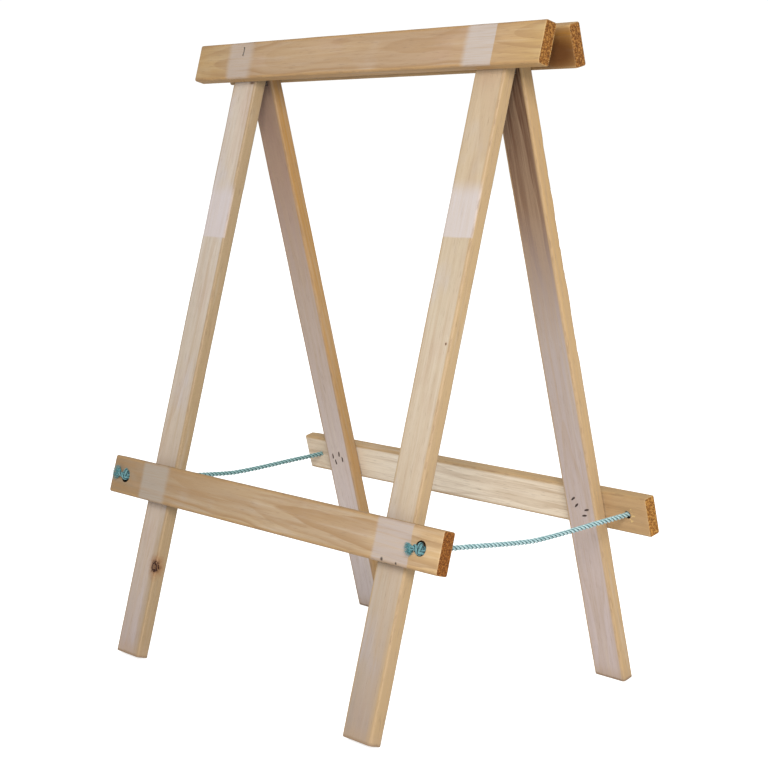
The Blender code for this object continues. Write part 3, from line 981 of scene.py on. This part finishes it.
# Rows of a board's looks, with places in the batten's own axes; face is 1 outward and -1 inward:
# pale (low x, high x, soft low, soft high, strength, tint), knots (x, y, z, size), marks (x, y, size, face),
# chips (x, half length, arris, depth), torn (x, y, inner radius, outer radius), painted shadow spots (x, y,
# size, stretch along x, strength, face), warm (near y, far y, full until x, gone at x, strength) and
# bruises (x, y, angle).
NO_ROWS = dict.fromkeys(("pale", "knots", "marks", "chips", "torn", "stains", "warm", "bruises"), ())
PLAIN_BOARD = {
    **NO_ROWS,
    "ring": 0.0042,
    "contrast": 0.75,
    "grime": 0.35,
    "bow": (0.0, 0.0),
    "foot": None,
    "edge": (1.0, 1.0, 1.0),
    "end": (0.75, 0.75, 0.66),
    "streaks": 1.0,
    "specks": 0.55,
}


def board_spec(seed, pith, tilt, **extra):
    """One board's looks; its tint, painted light and shade with some colour change along the board, is a list of
    (place, red, green, blue) stops along it.
    """
    return {**PLAIN_BOARD, "seed": seed, "pith": pith, "tilt": tilt, **extra}


# Rails: x is the world's X on the front frame and its opposite on the rear frame, y is up.
# The rails' tints are painted light and shade with some colour change: darker towards the ends and where less light
# falls, and dark brown at the rear top rail's right end, in the shade between the top rails.
RAIL_SPECS = {
    "front_top": board_spec(
        1, (0.004, -0.030), (0.020, 0.034), edge=(0.90, 0.82, 0.72), bow=(0.0003, 0.0001),
        pale=[
            (-0.241, -0.197, 0.006, 0.008, 0.80, (0.76, 0.73, 0.70)),
            (0.192, 0.238, 0.006, 0.0006, 0.90, (0.79, 0.80, 0.81)),
        ],
        tint=[
            (-0.31, 0.82, 0.71, 0.49), (-0.26, 0.80, 0.71, 0.54), (-0.19, 0.82, 0.78, 0.75),
            (0.19, 0.84, 0.80, 0.79), (0.25, 0.87, 0.80, 0.68), (0.31, 0.88, 0.79, 0.55),
        ],
        marks=[(-0.2150, 0.0165, 0.0014, 1), (-0.2150, 0.0070, 0.0014, 1)],
    ),
    "front_bottom": board_spec(
        2, (0.012, -0.036), (-0.045, 0.020), ring=0.0050, contrast=0.85, grime=0.55,
        edge=(0.85, 0.80, 0.75), end=(0.66, 0.56, 0.42), specks=0.35, streaks=1.7, bow=(-0.0003, 0.0001),
        pale=[
            (-0.243, -0.190, 0.004, 0.006, 0.80, (0.63, 0.63, 0.59)),
            (0.207, 0.264, 0.003, 0.0012, 0.85, (0.735, 0.72, 0.73)),
        ],
        tint=[
            (-0.31, 0.58, 0.53, 0.475), (-0.25, 0.61, 0.57, 0.52), (-0.19, 0.69, 0.66, 0.63),
            (0.0, 0.84, 0.84, 0.85), (0.19, 0.87, 0.86, 0.85), (0.27, 1.0, 0.94, 0.84),
            (0.31, 1.02, 0.95, 0.81),
        ],
        marks=[(0.224, -0.0205, 0.0030, 1), (0.247, -0.0215, 0.0022, 1)],
        chips=[(0.236, 0.020, 3, 0.0010)],
    ),
    "rear_top": board_spec(
        3, (-0.006, -0.040), (0.012, 0.020), grime=0.25, end=(0.73, 0.73, 0.69),
        # Painted shadows on the inner face, in the gap between the top rails.
        stains=[(-0.286, -0.006, 0.030, 0.55, 0.98, -1), (0.29, -0.006, 0.034, 0.6, 0.6, -1)],
        tint=[(-0.31, 0.57, 0.33, 0.09), (-0.24, 0.48, 0.30, 0.13), (0.31, 0.80, 0.74, 0.66)],
    ),
    "rear_bottom": board_spec(
        4, (0.002, 0.034), (0.030, -0.018), contrast=0.30, grime=0.18, end=(1.04, 1.12, 1.02),
        specks=0.50, bow=(0.0002, 0.0),
        chips=[(0.309, 0.006, 2, 0.0030)],
        torn=[(-0.2815, 0.0, 0.0050, 0.0095)],
        tint=[
            (-0.31, 0.79, 0.62, 0.41), (-0.25, 0.82, 0.66, 0.46), (-0.20, 1.26, 1.31, 1.36),
            (0.10, 1.36, 1.47, 1.61), (0.31, 1.12, 1.13, 1.14),
        ],
    ),
}
# Legs: x is up along the frame from the hinge axis, y is sideways.
# The legs' tints are painted light and shade with some colour change: the front legs darker towards their feet, the
# rear legs darker towards the top, in the shade under the top rails.
LEG_SPECS = {
    "front_left": board_spec(
        5, (0.016, -0.055), (0.010, 0.010), contrast=0.34, foot=-FOOT_DROP, edge=(0.61, 0.60, 0.56),
        pale=[(-0.212, -0.150, 0.0012, 0.012, 0.80, (0.94, 0.97, 1.09))],
        tint=[
            (-0.742, 0.70, 0.73, 0.95), (-0.62, 0.80, 0.82, 0.93), (-0.45, 0.87, 0.90, 0.98),
            (-0.25, 0.93, 1.0, 1.13), (0.03, 0.99, 1.04, 1.17),
        ],
        warm=[(-0.0170, -0.0080, -0.60, -0.54, 0.55)],
        # A painted shadow just under the top rail's lower edge.
        stains=[(-0.0140, -0.0165, 0.0068, 2.6, 0.75, 1)],
        knots=[(-0.629, -0.0204, 0.0075, 0.0112)],
    ),
    "front_right": board_spec(
        6, (-0.010, -0.060), (-0.012, 0.014), contrast=0.30, foot=-FOOT_DROP, edge=(0.83, 0.81, 0.79),
        pale=[(-0.197, -0.142, 0.0012, 0.012, 0.95, (0.90, 0.93, 1.0))],
        tint=[
            (-0.742, 0.57, 0.56, 0.62), (-0.65, 0.68, 0.68, 0.73), (-0.50, 0.87, 0.88, 0.89),
            (-0.30, 0.93, 0.97, 0.99), (-0.10, 0.87, 0.85, 0.78), (0.03, 0.84, 0.80, 0.72),
        ],
        warm=[(-0.0190, -0.0130, -0.66, -0.55, 0.50)],
        knots=[(-0.312, -0.0165, 0.0080, 0.0016)],
        chips=[(-0.738, 0.006, 3, 0.0022)],
    ),
    "rear_left": board_spec(
        7, (0.010, 0.050), (0.012, -0.010), contrast=0.34, foot=-FOOT_DROP, edge=(0.71, 0.54, 0.26),
        chips=[(-0.155, 0.020, 1, 0.0018), (-0.260, 0.045, 1, 0.0026), (-0.355, 0.030, 1, 0.0016)],
        tint=[
            (-0.62, 1.07, 1.11, 1.17), (-0.32, 0.81, 0.77, 0.71), (-0.12, 0.60, 0.48, 0.41),
            (0.03, 0.44, 0.32, 0.25),
        ],
    ),
    "rear_right": board_spec(
        8, (-0.012, 0.045), (-0.010, 0.012), contrast=0.34, foot=-FOOT_DROP, edge=(0.97, 0.92, 0.84),
        chips=[(-0.120, 0.035, 2, 0.0020), (-0.210, 0.050, 2, 0.0028), (-0.310, 0.035, 2, 0.0018)],
        tint=[
            (-0.62, 0.92, 0.91, 0.94), (-0.32, 0.74, 0.74, 0.75), (-0.16, 0.35, 0.245, 0.165),
            (-0.06, 0.20, 0.115, 0.065), (0.03, 0.18, 0.10, 0.05),
        ],
    ),
}


def batten_piece(name, low, high, spec, tones, world, cutters, body, slot):
    """A batten from low to high along its grain, with its cutters taken out of it."""
    obj = link(bpy.data.objects.new(f"{name}_board", batten_mesh(name, low, high, spec)))
    obj.matrix_world = world
    obj.data.materials.append(pine(f"{name}_pine", spec, tones))
    obj.data.materials.append(end_grain(f"{name}_end_grain", spec))
    cut(obj, cutters)
    finish_piece(obj, body, slot, name)


def rails(frame_name, sign):
    along, out, up, _ = frame_axes(sign)
    for level, h in (("top", TOP_RAIL_H), ("bottom", -BRACE_DROP)):
        label = f"{frame_name}_{level}"
        cutters = []
        for side_name, side in SIDES.items():
            staples = TOP_STAPLES if level == "top" else BRACE_STAPLES[side_name]
            for number, staple in enumerate(staples):
                if frame_name == "front" and (level, side_name, number) != SHOWN_CROWN:
                    continue
                slit = f"{label}_{side_name}_slit_{number}"
                cutters.append(crown_slot(slit, sign, side * LEG_X, h, staple))
            if level == "bottom":
                cutters.append(drill(f"{label}_{side_name}_drill", sign, side * ROPE_X, side + sign))
        turn = Matrix((-along, up, out)).transposed().to_4x4()
        world = Matrix.Translation(frame_point(sign, 0, (RAIL_IN + RAIL_OUT) / 2, h)) @ turn
        half = RAIL_LENGTH / 2
        spec = RAIL_SPECS[label]
        body = f"{frame_name}_frame"
        batten_piece(f"{label}_rail", -half, half, spec, RAIL_TONES, world, cutters, body, "pine_rail")


def legs(frame_name, sign):
    along, out, up, _ = frame_axes(sign)
    for side_name, side in SIDES.items():
        label = f"{frame_name}_leg_{side_name}"
        near = -sign * MITRE_REACH
        far = sign * MITRE_HALF_GAP
        mitre = block(
            f"{label}_mitre",
            (-RAIL_LENGTH, min(near, far), HINGE_Z - MITRE_REACH),
            (RAIL_LENGTH, max(near, far), HINGE_Z + 2 * MITRE_REACH),
        )
        turn = Matrix((up, along, out)).transposed().to_4x4()
        world = Matrix.Translation(frame_point(sign, side * LEG_X, (LEG_IN + LEG_OUT) / 2, 0)) @ turn
        bruises = []
        for right, up_by, bend in clinch_starts(side_name):
            middle = CLINCH_LENGTH / 2
            centre_x = up_by - BRACE_DROP + middle * math.sin(bend)
            centre_y = (right + middle * math.cos(bend)) * sign
            bruises.append((centre_x, centre_y, sign * (math.pi / 2 - bend)))
        spec = {**LEG_SPECS[f"{frame_name}_{side_name}"], "bruises": bruises}
        body = f"{frame_name}_frame"
        batten_piece(label, -FOOT_DROP, LEG_TOP, spec, LEG_TONES, world, [mitre], body, "pine_leg")


# ---------------------------------------------------------------- ropes

LAY = 0.0174           # length of one turn of the strands
STRAND_R = 0.00162
STRAND_OFF = 0.00145
RING_POINTS = 36
RING_STEP = 0.0008
KNOT_SCALE = 0.00158
KNOT_LIFT = 0.0026
KNOT_TURN = math.radians(56)
KNOT_OUT = 0.0004
TAILS = {"left": (0.0060, 0.0015), "right": (0.0050, -0.0022)}
KNOT_UP = {"left": 0.0012, "right": -0.0016}
KNOT_ASIDE = 0.0008
KNOT_TALL = {"left": 1.22, "right": 1.08}
KNOT_SQUEEZE = 0.93
KNOT_MOUTH = 0.0045    # how far out from a rail's inner face the knot's stretch starts
FRAYS = {"left": (0.0105, 0.0085), "right": (0.0085, 0.0058)}    # a tuft's length and spread
TUFT_FILAMENTS = 190
TUFT_R = 0.0025
STRAND_ZONE = 0.0080   # a bend reaches this far to either side of its pivot
BOW_ZONE = 0.0120
PATH_STEP = 5          # points of the line from one point of a cord's path to the next


def curve_through(points, step):
    """Evenly spaced points on a smooth curve through the given ones."""
    points = [np.array(p, float) for p in points]
    knots = [2 * points[0] - points[1], *points, 2 * points[-1] - points[-2]]
    dense = []
    for before, start, end, after in zip(knots, knots[1:], knots[2:], knots[3:]):
        for k in range(20):
            t = k / 20
            turning = (2 * before - 5 * start + 4 * end - after) * t**2
            easing = (3 * start - before - 3 * end + after) * t**3
            dense.append(0.5 * (2 * start + (end - before) * t + turning + easing))
    dense.append(points[-1])
    dense = np.array(dense)
    run = run_along(dense)
    count = max(2, round(run[-1] / step))
    wanted = np.linspace(0, run[-1], count + 1)
    return np.stack([np.interp(wanted, run, dense[:, axis]) for axis in range(3)], axis=1)


def knot_points(sign, side_name):
    """The knot's turns and its tail, from the back of the recess outward."""
    side = SIDES[side_name]
    _, out, up, _ = frame_axes(sign)
    left = Vector((-1, 0, 0))
    y, z = HALF_ROUTE[-1]
    centre = Vector((side * ROPE_X, sign * y, z)) + out * KNOT_OUT
    raised = centre + up * KNOT_UP[side_name] + left * KNOT_ASIDE
    points = []
    for k in range(16):
        t = math.pi / 6 + (11 * math.pi / 6 - math.pi / 6) * k / 15
        a = math.sin(t) + 2 * math.sin(2 * t)
        b = math.cos(t) - 2 * math.cos(2 * t)
        across = a * math.cos(KNOT_TURN) - b * math.sin(KNOT_TURN)
        upward = a * math.sin(KNOT_TURN) + b * math.cos(KNOT_TURN)
        lift = -math.sin(3 * t) * KNOT_LIFT
        tall = KNOT_SCALE * KNOT_TALL[side_name]
        points.append(raised + left * across * KNOT_SCALE + up * upward * tall + out * lift)
    length, rise = TAILS[side_name]
    points.append(centre + left * 0.0045 + out * 0.0042 + up * 0.0004)
    points.append(centre + left * (0.0060 + length * 0.5) + out * 0.0046 + up * rise * 0.6)
    points.append(centre + left * (0.0060 + length) + out * 0.0048 + up * rise)
    return points


def rope_line(side_name):
    """The whole rope's centreline, from the front knot's tail to the rear knot's tail."""
    side = SIDES[side_name]
    halves = {}
    for frame_name, sign in FRAMES.items():
        route = [Vector((side * ROPE_X, sign * y, z)) for y, z in HALF_ROUTE[:-1]]
        halves[frame_name] = route + knot_points(sign, side_name)
    whole = list(reversed(halves["front"])) + halves["rear"][1:]
    return curve_through(whole, RING_STEP)


def carried_frames(line):
    """A sideways direction at each point of a line, carried along it without twisting."""
    tangents = np.gradient(line, axis=0)
    tangents /= np.linalg.norm(tangents, axis=1)[:, None]
    side = np.cross(tangents[0], (0.0, 0.0, 1.0))
    side /= np.linalg.norm(side)
    sides = [side]
    for tangent in tangents[1:]:
        side = side - tangent * np.dot(side, tangent)
        side /= np.linalg.norm(side)
        sides.append(side)
    return tangents, np.array(sides)


def laid_section():
    """The three-strand section, as (angle, radius) pairs."""
    section = []
    for k in range(RING_POINTS):
        angle = 2 * math.pi * k / RING_POINTS
        lobe = (angle + math.pi / 3) % (2 * math.pi / 3) - math.pi / 3
        chord = STRAND_OFF * math.sin(lobe)
        section.append((angle, STRAND_OFF * math.cos(lobe) + math.sqrt(STRAND_R**2 - chord**2)))
    return section


def run_along(line):
    """The distance run along a line at each of its points."""
    return np.concatenate(([0.0], np.cumsum(np.linalg.norm(np.diff(line, axis=0), axis=1))))


def rope_mesh(name, line, tangents, sides, run, ends, squeeze):
    """A closed tube of three laid strands between two of the line's points."""
    low, high = sorted(ends)
    section = laid_section()
    points = []
    for i in range(low, high + 1):
        turn = 2 * math.pi * run[i] / LAY
        up = np.cross(tangents[i], sides[i])
        swell = squeeze * (1 + 0.02 * noise.noise(Vector((run[i] * 120, 0, 0))))
        for angle, radius in section:
            spoke = sides[i] * math.cos(angle + turn) + up * math.sin(angle + turn)
            points.append(line[i] + spoke * radius * swell)
    count = high - low + 1
    faces = tube_faces(count, RING_POINTS)
    for k, end in ((0, low), (count - 1, high)):
        centre = len(points)
        points.append(line[end])
        for i in range(RING_POINTS):
            a = k * RING_POINTS + i
            b = k * RING_POINTS + (i + 1) % RING_POINTS
            faces.append((a, centre, b) if k == 0 else (a, b, centre))
    mesh = new_mesh(name, points, faces)
    lay_map(mesh, run, low, count)
    if outward_volume(mesh) < 0:
        mesh.flip_normals()
    return mesh


def lay_map(mesh, run, low, count):
    """A map on the strands: across each strand from 0 to 1, and along the rope in centimetres."""
    layer = mesh.uv_layers.new(name="lay_map")
    per_lobe = RING_POINTS // 3
    for polygon in mesh.polygons:
        for corner in polygon.loop_indices:
            vertex = mesh.loops[corner].vertex_index
            ring = min(vertex // RING_POINTS, count - 1)
            spot = vertex % RING_POINTS
            others = [mesh.loops[c].vertex_index % RING_POINTS for c in polygon.loop_indices]
            across = ((spot + per_lobe / 2) % per_lobe) / per_lobe
            if across == 0 and any(((o + per_lobe / 2) % per_lobe) / per_lobe > 0.5 for o in others):
                across = 1.0
            layer.data[corner].uv = (across, run[low + ring] * 100)


# In each set of rope colours, the crest colour is a painted highlight with pale worn fibres, and the groove colour is
# painted shade.
FREE_ROPE = {
    "dark": (0.078, 0.210, 0.220),
    "light": (0.180, 0.370, 0.380),
    "crest_highlight": (0.550, 0.700, 0.710),
    "aged": (0.060, 0.240, 0.240),
    "groove_shade": (0.022, 0.070, 0.080),
}
SHADED_ROPE = {
    "dark": (0.050, 0.165, 0.165),
    "light": (0.115, 0.290, 0.290),
    "crest_highlight": (0.340, 0.510, 0.505),
    "aged": (0.040, 0.190, 0.140),
    "groove_shade": (0.010, 0.040, 0.040),
}
# A darker copy of the rope's colours for the knots: painted shade in the knots' recesses and crevices.
SHADED_KNOT_ROPE = {
    "dark": (0.026, 0.100, 0.112),
    "light": (0.072, 0.195, 0.208),
    "crest_highlight": (0.150, 0.320, 0.335),
    "aged": (0.020, 0.090, 0.100),
    "groove_shade": (0.006, 0.024, 0.030),
}


FRAYED = ((0.035, 0.150, 0.168), (0.140, 0.315, 0.330))


def mottled(name, scale, steps, tints, shine, bump, depth, **constants):
    """A material that goes between two tints and two roughnesses with one noise."""
    graph = Graph(name)
    mottle = graph.noise(scale, 3.0, 0.6)
    graph.color = graph.mix(mottle.ease(*steps), *tints)
    return graph.finish(mottle.ease(0.3, 0.7, *shine), (mottle, bump, depth), **constants)


def rope_fibre(name, tones):
    """Polypropylene rope: teal filaments, with a painted highlight on the strands' crests, partly pale worn fibres,
    and painted shade in the grooves.
    """
    graph = Graph(name)
    across, up_rope, _ = graph.split(graph.node("UVMap", uv_map="lay_map").outputs[0])
    groove_shade = abs(across - 0.5).ease(0.22, 0.50)
    slanted = graph.node("CombineXYZ")
    for socket, value in zip(slanted.inputs, (across * 7.0 - up_rope * 3.2, up_rope * 2.0, across * 1.5)):
        graph.put(socket, value)
    filaments = graph.noise((3.4, 3.4, 3.4), 3.0, 0.6, vector=slanted.outputs[0])
    fade = graph.noise((60, 60, 60), 2.0, 0.5)
    graph.color = graph.mix(filaments.ease(0.35, 0.62), tones["dark"], tones["light"])
    # painted highlight along the strands' crests, partly pale worn fibres
    crest_highlight = groove_shade.ease(0.0, 0.7, 1.0, 0.0) * filaments.ease(0.38, 0.58)
    graph.coat(crest_highlight * 0.95, tones["crest_highlight"])
    graph.coat(fade.ease(0.5, 0.75) * 0.30, tones["aged"])
    # painted shade in the grooves between the strands
    graph.coat(groove_shade * 0.95, tones["groove_shade"])
    roughness = filaments.ease(0.3, 0.7, 0.55, 0.38)
    return graph.finish(roughness, (filaments, 0.7, 0.00025), specular=0.30, sheen=0.15)


def thread(points, radius, vertices, faces, around=5, taper=0.55):
    """Adds one thin closed filament along a few points, narrowing to its tip."""
    line = np.array([tuple(p) for p in points], float)
    tangents, sides = carried_frames(line)
    base = len(vertices)
    for i in range(len(line)):
        up = np.cross(tangents[i], sides[i])
        thick = radius * (1 - taper * i / (len(line) - 1))
        for k in range(around):
            angle = 2 * math.pi * k / around
            spoke = sides[i] * math.cos(angle) + up * math.sin(angle)
            vertices.append(tuple(line[i] + spoke * thick))
    faces += tube_faces(len(line), around, base)
    faces.append(tuple(base + k for k in reversed(range(around))))
    faces.append(tuple(base + (len(line) - 1) * around + k for k in range(around)))


def brush(name, end, ahead, length, spread, seed):
    """The frayed end of a rope: a tuft of filaments that fans out from where the lay comes undone."""
    draw = random.Random(seed)
    ahead = Vector(ahead).normalized()
    side = ahead.cross(Vector((0, 0, 1))).normalized()
    up = side.cross(ahead)
    vertices = []
    faces = []
    for k in range(TUFT_FILAMENTS):
        ring = math.sqrt(draw.random())
        angle = draw.uniform(0, 2 * math.pi)
        start = Vector(end) + (side * math.cos(angle) + up * math.sin(angle)) * ring * TUFT_R
        reach = length * draw.uniform(0.55, 1.0) * (1.05 - 0.35 * ring)
        fan = spread * ring * draw.uniform(0.6, 1.0)
        droop = draw.uniform(-0.0010, 0.0004)
        points = []
        for step in range(7):
            t = step / 6
            swell = math.sin(t * math.pi * 0.62)
            offset = side * math.cos(angle) * 0.55 + up * math.sin(angle)
            wave = 0.0003 * math.sin(t * 7 + k)
            point = start - ahead * 0.002 + ahead * (reach + 0.002) * t
            point += offset * fan * swell + up * (wave + droop * t * t)
            points.append(point)
        thread(points, draw.uniform(0.00013, 0.00022), vertices, faces)
    return new_mesh(name, vertices, faces)


def frayed_fibre(name):
    """Loose filaments: softer teal, with some bleached ones."""
    return mottled(name, (500, 900, 900), (0.35, 0.65), FRAYED, (0.62, 0.45), 0.4, 0.0002, specular=0.25)


def nearest(line, point):
    return int(np.argmin(np.linalg.norm(line - np.array(point), axis=1)))


def route_point(side, sign, place):
    y, z = HALF_ROUTE[place]
    return (side * ROPE_X, sign * y, z)


def laid_piece(name, rope, ends, material, squeeze=1.0):
    """A stretch of a rope between two of its line's points."""
    mesh = rope_mesh(name, *rope, ends, squeeze)
    mesh.materials.append(material)
    return link(bpy.data.objects.new(name, mesh))


def make_rope(side_name, material, knotted, loose):
    """One rope, cut where its bodies meet: knot, strand and bow on each frame."""
    side = SIDES[side_name]
    line = rope_line(side_name)
    tangents, sides = carried_frames(line)
    run = run_along(line)
    rope = (line, tangents, sides, run)
    middle = nearest(line, route_point(side, 1, 0))
    for frame_name, sign in FRAMES.items():
        label = f"rope_{side_name}_{frame_name}"
        body = f"{frame_name}_frame"
        split = nearest(line, route_point(side, sign, STRAND_SPLIT))
        hole = frame_point(sign, side * ROPE_X, RAIL_IN + KNOT_MOUTH, -BRACE_DROP + 0.0002)
        mouth = nearest(line, hole)
        end = 0 if sign < 0 else len(line) - 1

        knot = laid_piece(f"{label}_knot_turns", rope, (end, mouth), knotted, KNOT_SQUEEZE)
        finish_piece(knot, body, "rope_fibre", f"{label}_knot")
        ahead = tangents[end] * sign
        tuft_data = brush(f"{label}_tuft", line[end], ahead, *FRAYS[side_name], 40 + side * 3 + sign)
        tuft = link(bpy.data.objects.new(f"{label}_frayed_end", tuft_data))
        tuft.data.materials.append(loose)
        finish_piece(tuft, body, "rope_fibre")

        strand = laid_piece(f"{label}_strand_laid", rope, (mouth, split), material)
        bow = laid_piece(f"{label}_bow_laid", rope, (split, middle), material)
        for piece, node in ((strand, f"{label}_strand"), (bow, f"{label}_bow")):
            piece.data.shade_smooth()
            piece.data.set_sharp_from_angle(angle=SHARP_CORNER)
            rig.slot(piece, "rope_fibre")
            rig.replaces(piece, node)
        bend_piece(strand, body, f"{label}_strand", side, sign, STRAND_PIVOT, STRAND_ZONE)
        bend_piece(bow, f"{label}_strand", f"{label}_bow", side, sign, BOW_PIVOT, BOW_ZONE)

        for piece, first, last, with_pieces in (
            (strand, mouth, split, [knot, tuft]),
            (bow, split, middle, []),
        ):
            spots = list(range(first, last, PATH_STEP if last > first else -PATH_STEP)) + [last]
            path = [tuple(line[i]) for i in spots]
            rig.cord(
                piece,
                exit=path[0],
                length=abs(run[last] - run[first]),
                diameter=ROPE_D,
                far_end="object",
                stiffness="limp",
                lay="hanging",
                path=path,
                with_pieces=with_pieces,
            )


def bend_piece(piece, near_body, far_body, side, sign, pivot, half_zone):
    """Bends a stretch of rope across its pivot, over half_zone to either side."""
    at = Vector(route_point(side, sign, pivot))
    before = Vector(route_point(side, sign, pivot + 1))
    after = Vector(route_point(side, sign, pivot - 1))
    ahead = (after - before).normalized()
    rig.blend(piece, near_body, far_body, start=at - ahead * half_zone, end=at + ahead * half_zone)


# ---------------------------------------------------------------- metal


WIRE_TINTS = ((0.36, 0.35, 0.33), (0.24, 0.17, 0.12))
POINT_TINTS = ((0.020, 0.014, 0.012), (0.060, 0.026, 0.014))


def zinc(name):
    """Zinc-plated steel: slightly mottled, with fine scratches and dulled edges."""
    graph = Graph(name)
    mottle = graph.noise((350, 350, 350), 3.0, 0.6)
    scratches = graph.noise((200, 2500, 2500), 2.0, 0.6)
    graph.color = graph.mix(mottle.ease(0.35, 0.65), (0.28, 0.26, 0.23), (0.42, 0.40, 0.36))
    graph.coat(mottle.ease(0.58, 0.70, 0.0, 0.6), (0.20, 0.13, 0.08))
    roughness = scratches.ease(0.3, 0.7, 0.30, 0.52)
    return graph.finish(roughness, (mottle + scratches, 0.3, 0.0001), metallic=1.0)


def staple_wire(name):
    """Dull staple wire with the start of rust."""
    return mottled(name, (900, 900, 900), (0.42, 0.66), WIRE_TINTS, (0.40, 0.75), 0.4, 0.0001, metallic=0.8)


def rusted_point(name):
    """A staple's point, blackened where it was bent over."""
    return mottled(name, (1200, 1200, 1200), (0.40, 0.62), POINT_TINTS, (0.55, 0.85), 0.5, 0.0001)


CLINCH_R = 0.00095


def clinch_starts(side_name):
    """Where the staples' wires come out at one bottom joint, and the angle that each is bent to."""
    turns = iter(CLINCH_TURNS[side_name])
    for right, up_by, turn in BRACE_STAPLES[side_name]:
        for end in (-1, 1):
            run = end * (STAPLE_HALF_CROWN - STAPLE_WIRE / 2)
            angle = math.radians(turn)
            bend = math.radians(next(turns))
            yield right + run * math.cos(angle), up_by + run * math.sin(angle), bend


def clinched_points(frame_name, sign, material):
    """The staples' points at the bottom joints, bent over on the legs' inner faces."""
    _, out, up, _ = frame_axes(sign)
    across = Vector((1, 0, 0))
    for side_name, side in SIDES.items():
        vertices = []
        faces = []
        for right, up_by, bend in clinch_starts(side_name):
            start = frame_point(sign, side * LEG_X + right, LEG_IN, up_by - BRACE_DROP)
            lie = across * math.cos(bend) + up * math.sin(bend)
            points = [start + out * 0.0012, start + out * 0.0003, start - out * 0.0001 + lie * 0.0004]
            for k in range(1, 6):
                run = CLINCH_LENGTH * k / 5
                points.append(start - out * 0.0002 * math.sin(math.pi * k / 5) + lie * run)
            thread(points, CLINCH_R, vertices, faces, around=12, taper=0.40)
        name = f"{frame_name}_bottom_{side_name}_clinched_points"
        mesh = new_mesh(name, vertices, faces)
        mesh.materials.append(material)
        finish_piece(link(bpy.data.objects.new(name, mesh)), f"{frame_name}_frame", "staple_steel")


def dress_node(name, material, width):
    """A CAD node that stays: its material, and a small bevel on its edges."""
    node = frame["nodes"][name]
    node.data.materials.clear()
    node.data.materials.append(material)
    bevel = node.modifiers.new("softened_edges", "BEVEL")
    bevel.width = width
    bevel.segments = 2
    bevel.limit_method = "ANGLE"
    bevel.angle_limit = SHARP_CORNER


def dress_metal():
    hinge_metal = zinc("zinc_plate")
    wire = staple_wire("staple_wire")
    points = rusted_point("blackened_point")
    for frame_name, sign in FRAMES.items():
        clinched_points(frame_name, sign, points)
    for name in frame["nodes"]:
        if name.startswith("hinge"):
            dress_node(name, hinge_metal, 0.00012)
        elif "staple" in name:
            dress_node(name, wire, 0.00010)


# ---------------------------------------------------------------- assembly

shaded_knot_material = rope_fibre("knotted_rope", SHADED_KNOT_ROPE)
loose_material = frayed_fibre("loose_filaments")
make_rope("left", rope_fibre("shaded_rope", SHADED_ROPE), shaded_knot_material, loose_material)
make_rope("right", rope_fibre("laid_rope", FREE_ROPE), shaded_knot_material, loose_material)
for frame_label, frame_sign in FRAMES.items():
    rails(frame_label, frame_sign)
    legs(frame_label, frame_sign)
dress_metal()

with open("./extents.json", "w") as size_file:
    json.dump({"cad": CAD_BOX, "visual": [list(corner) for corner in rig.bounds()]}, size_file)
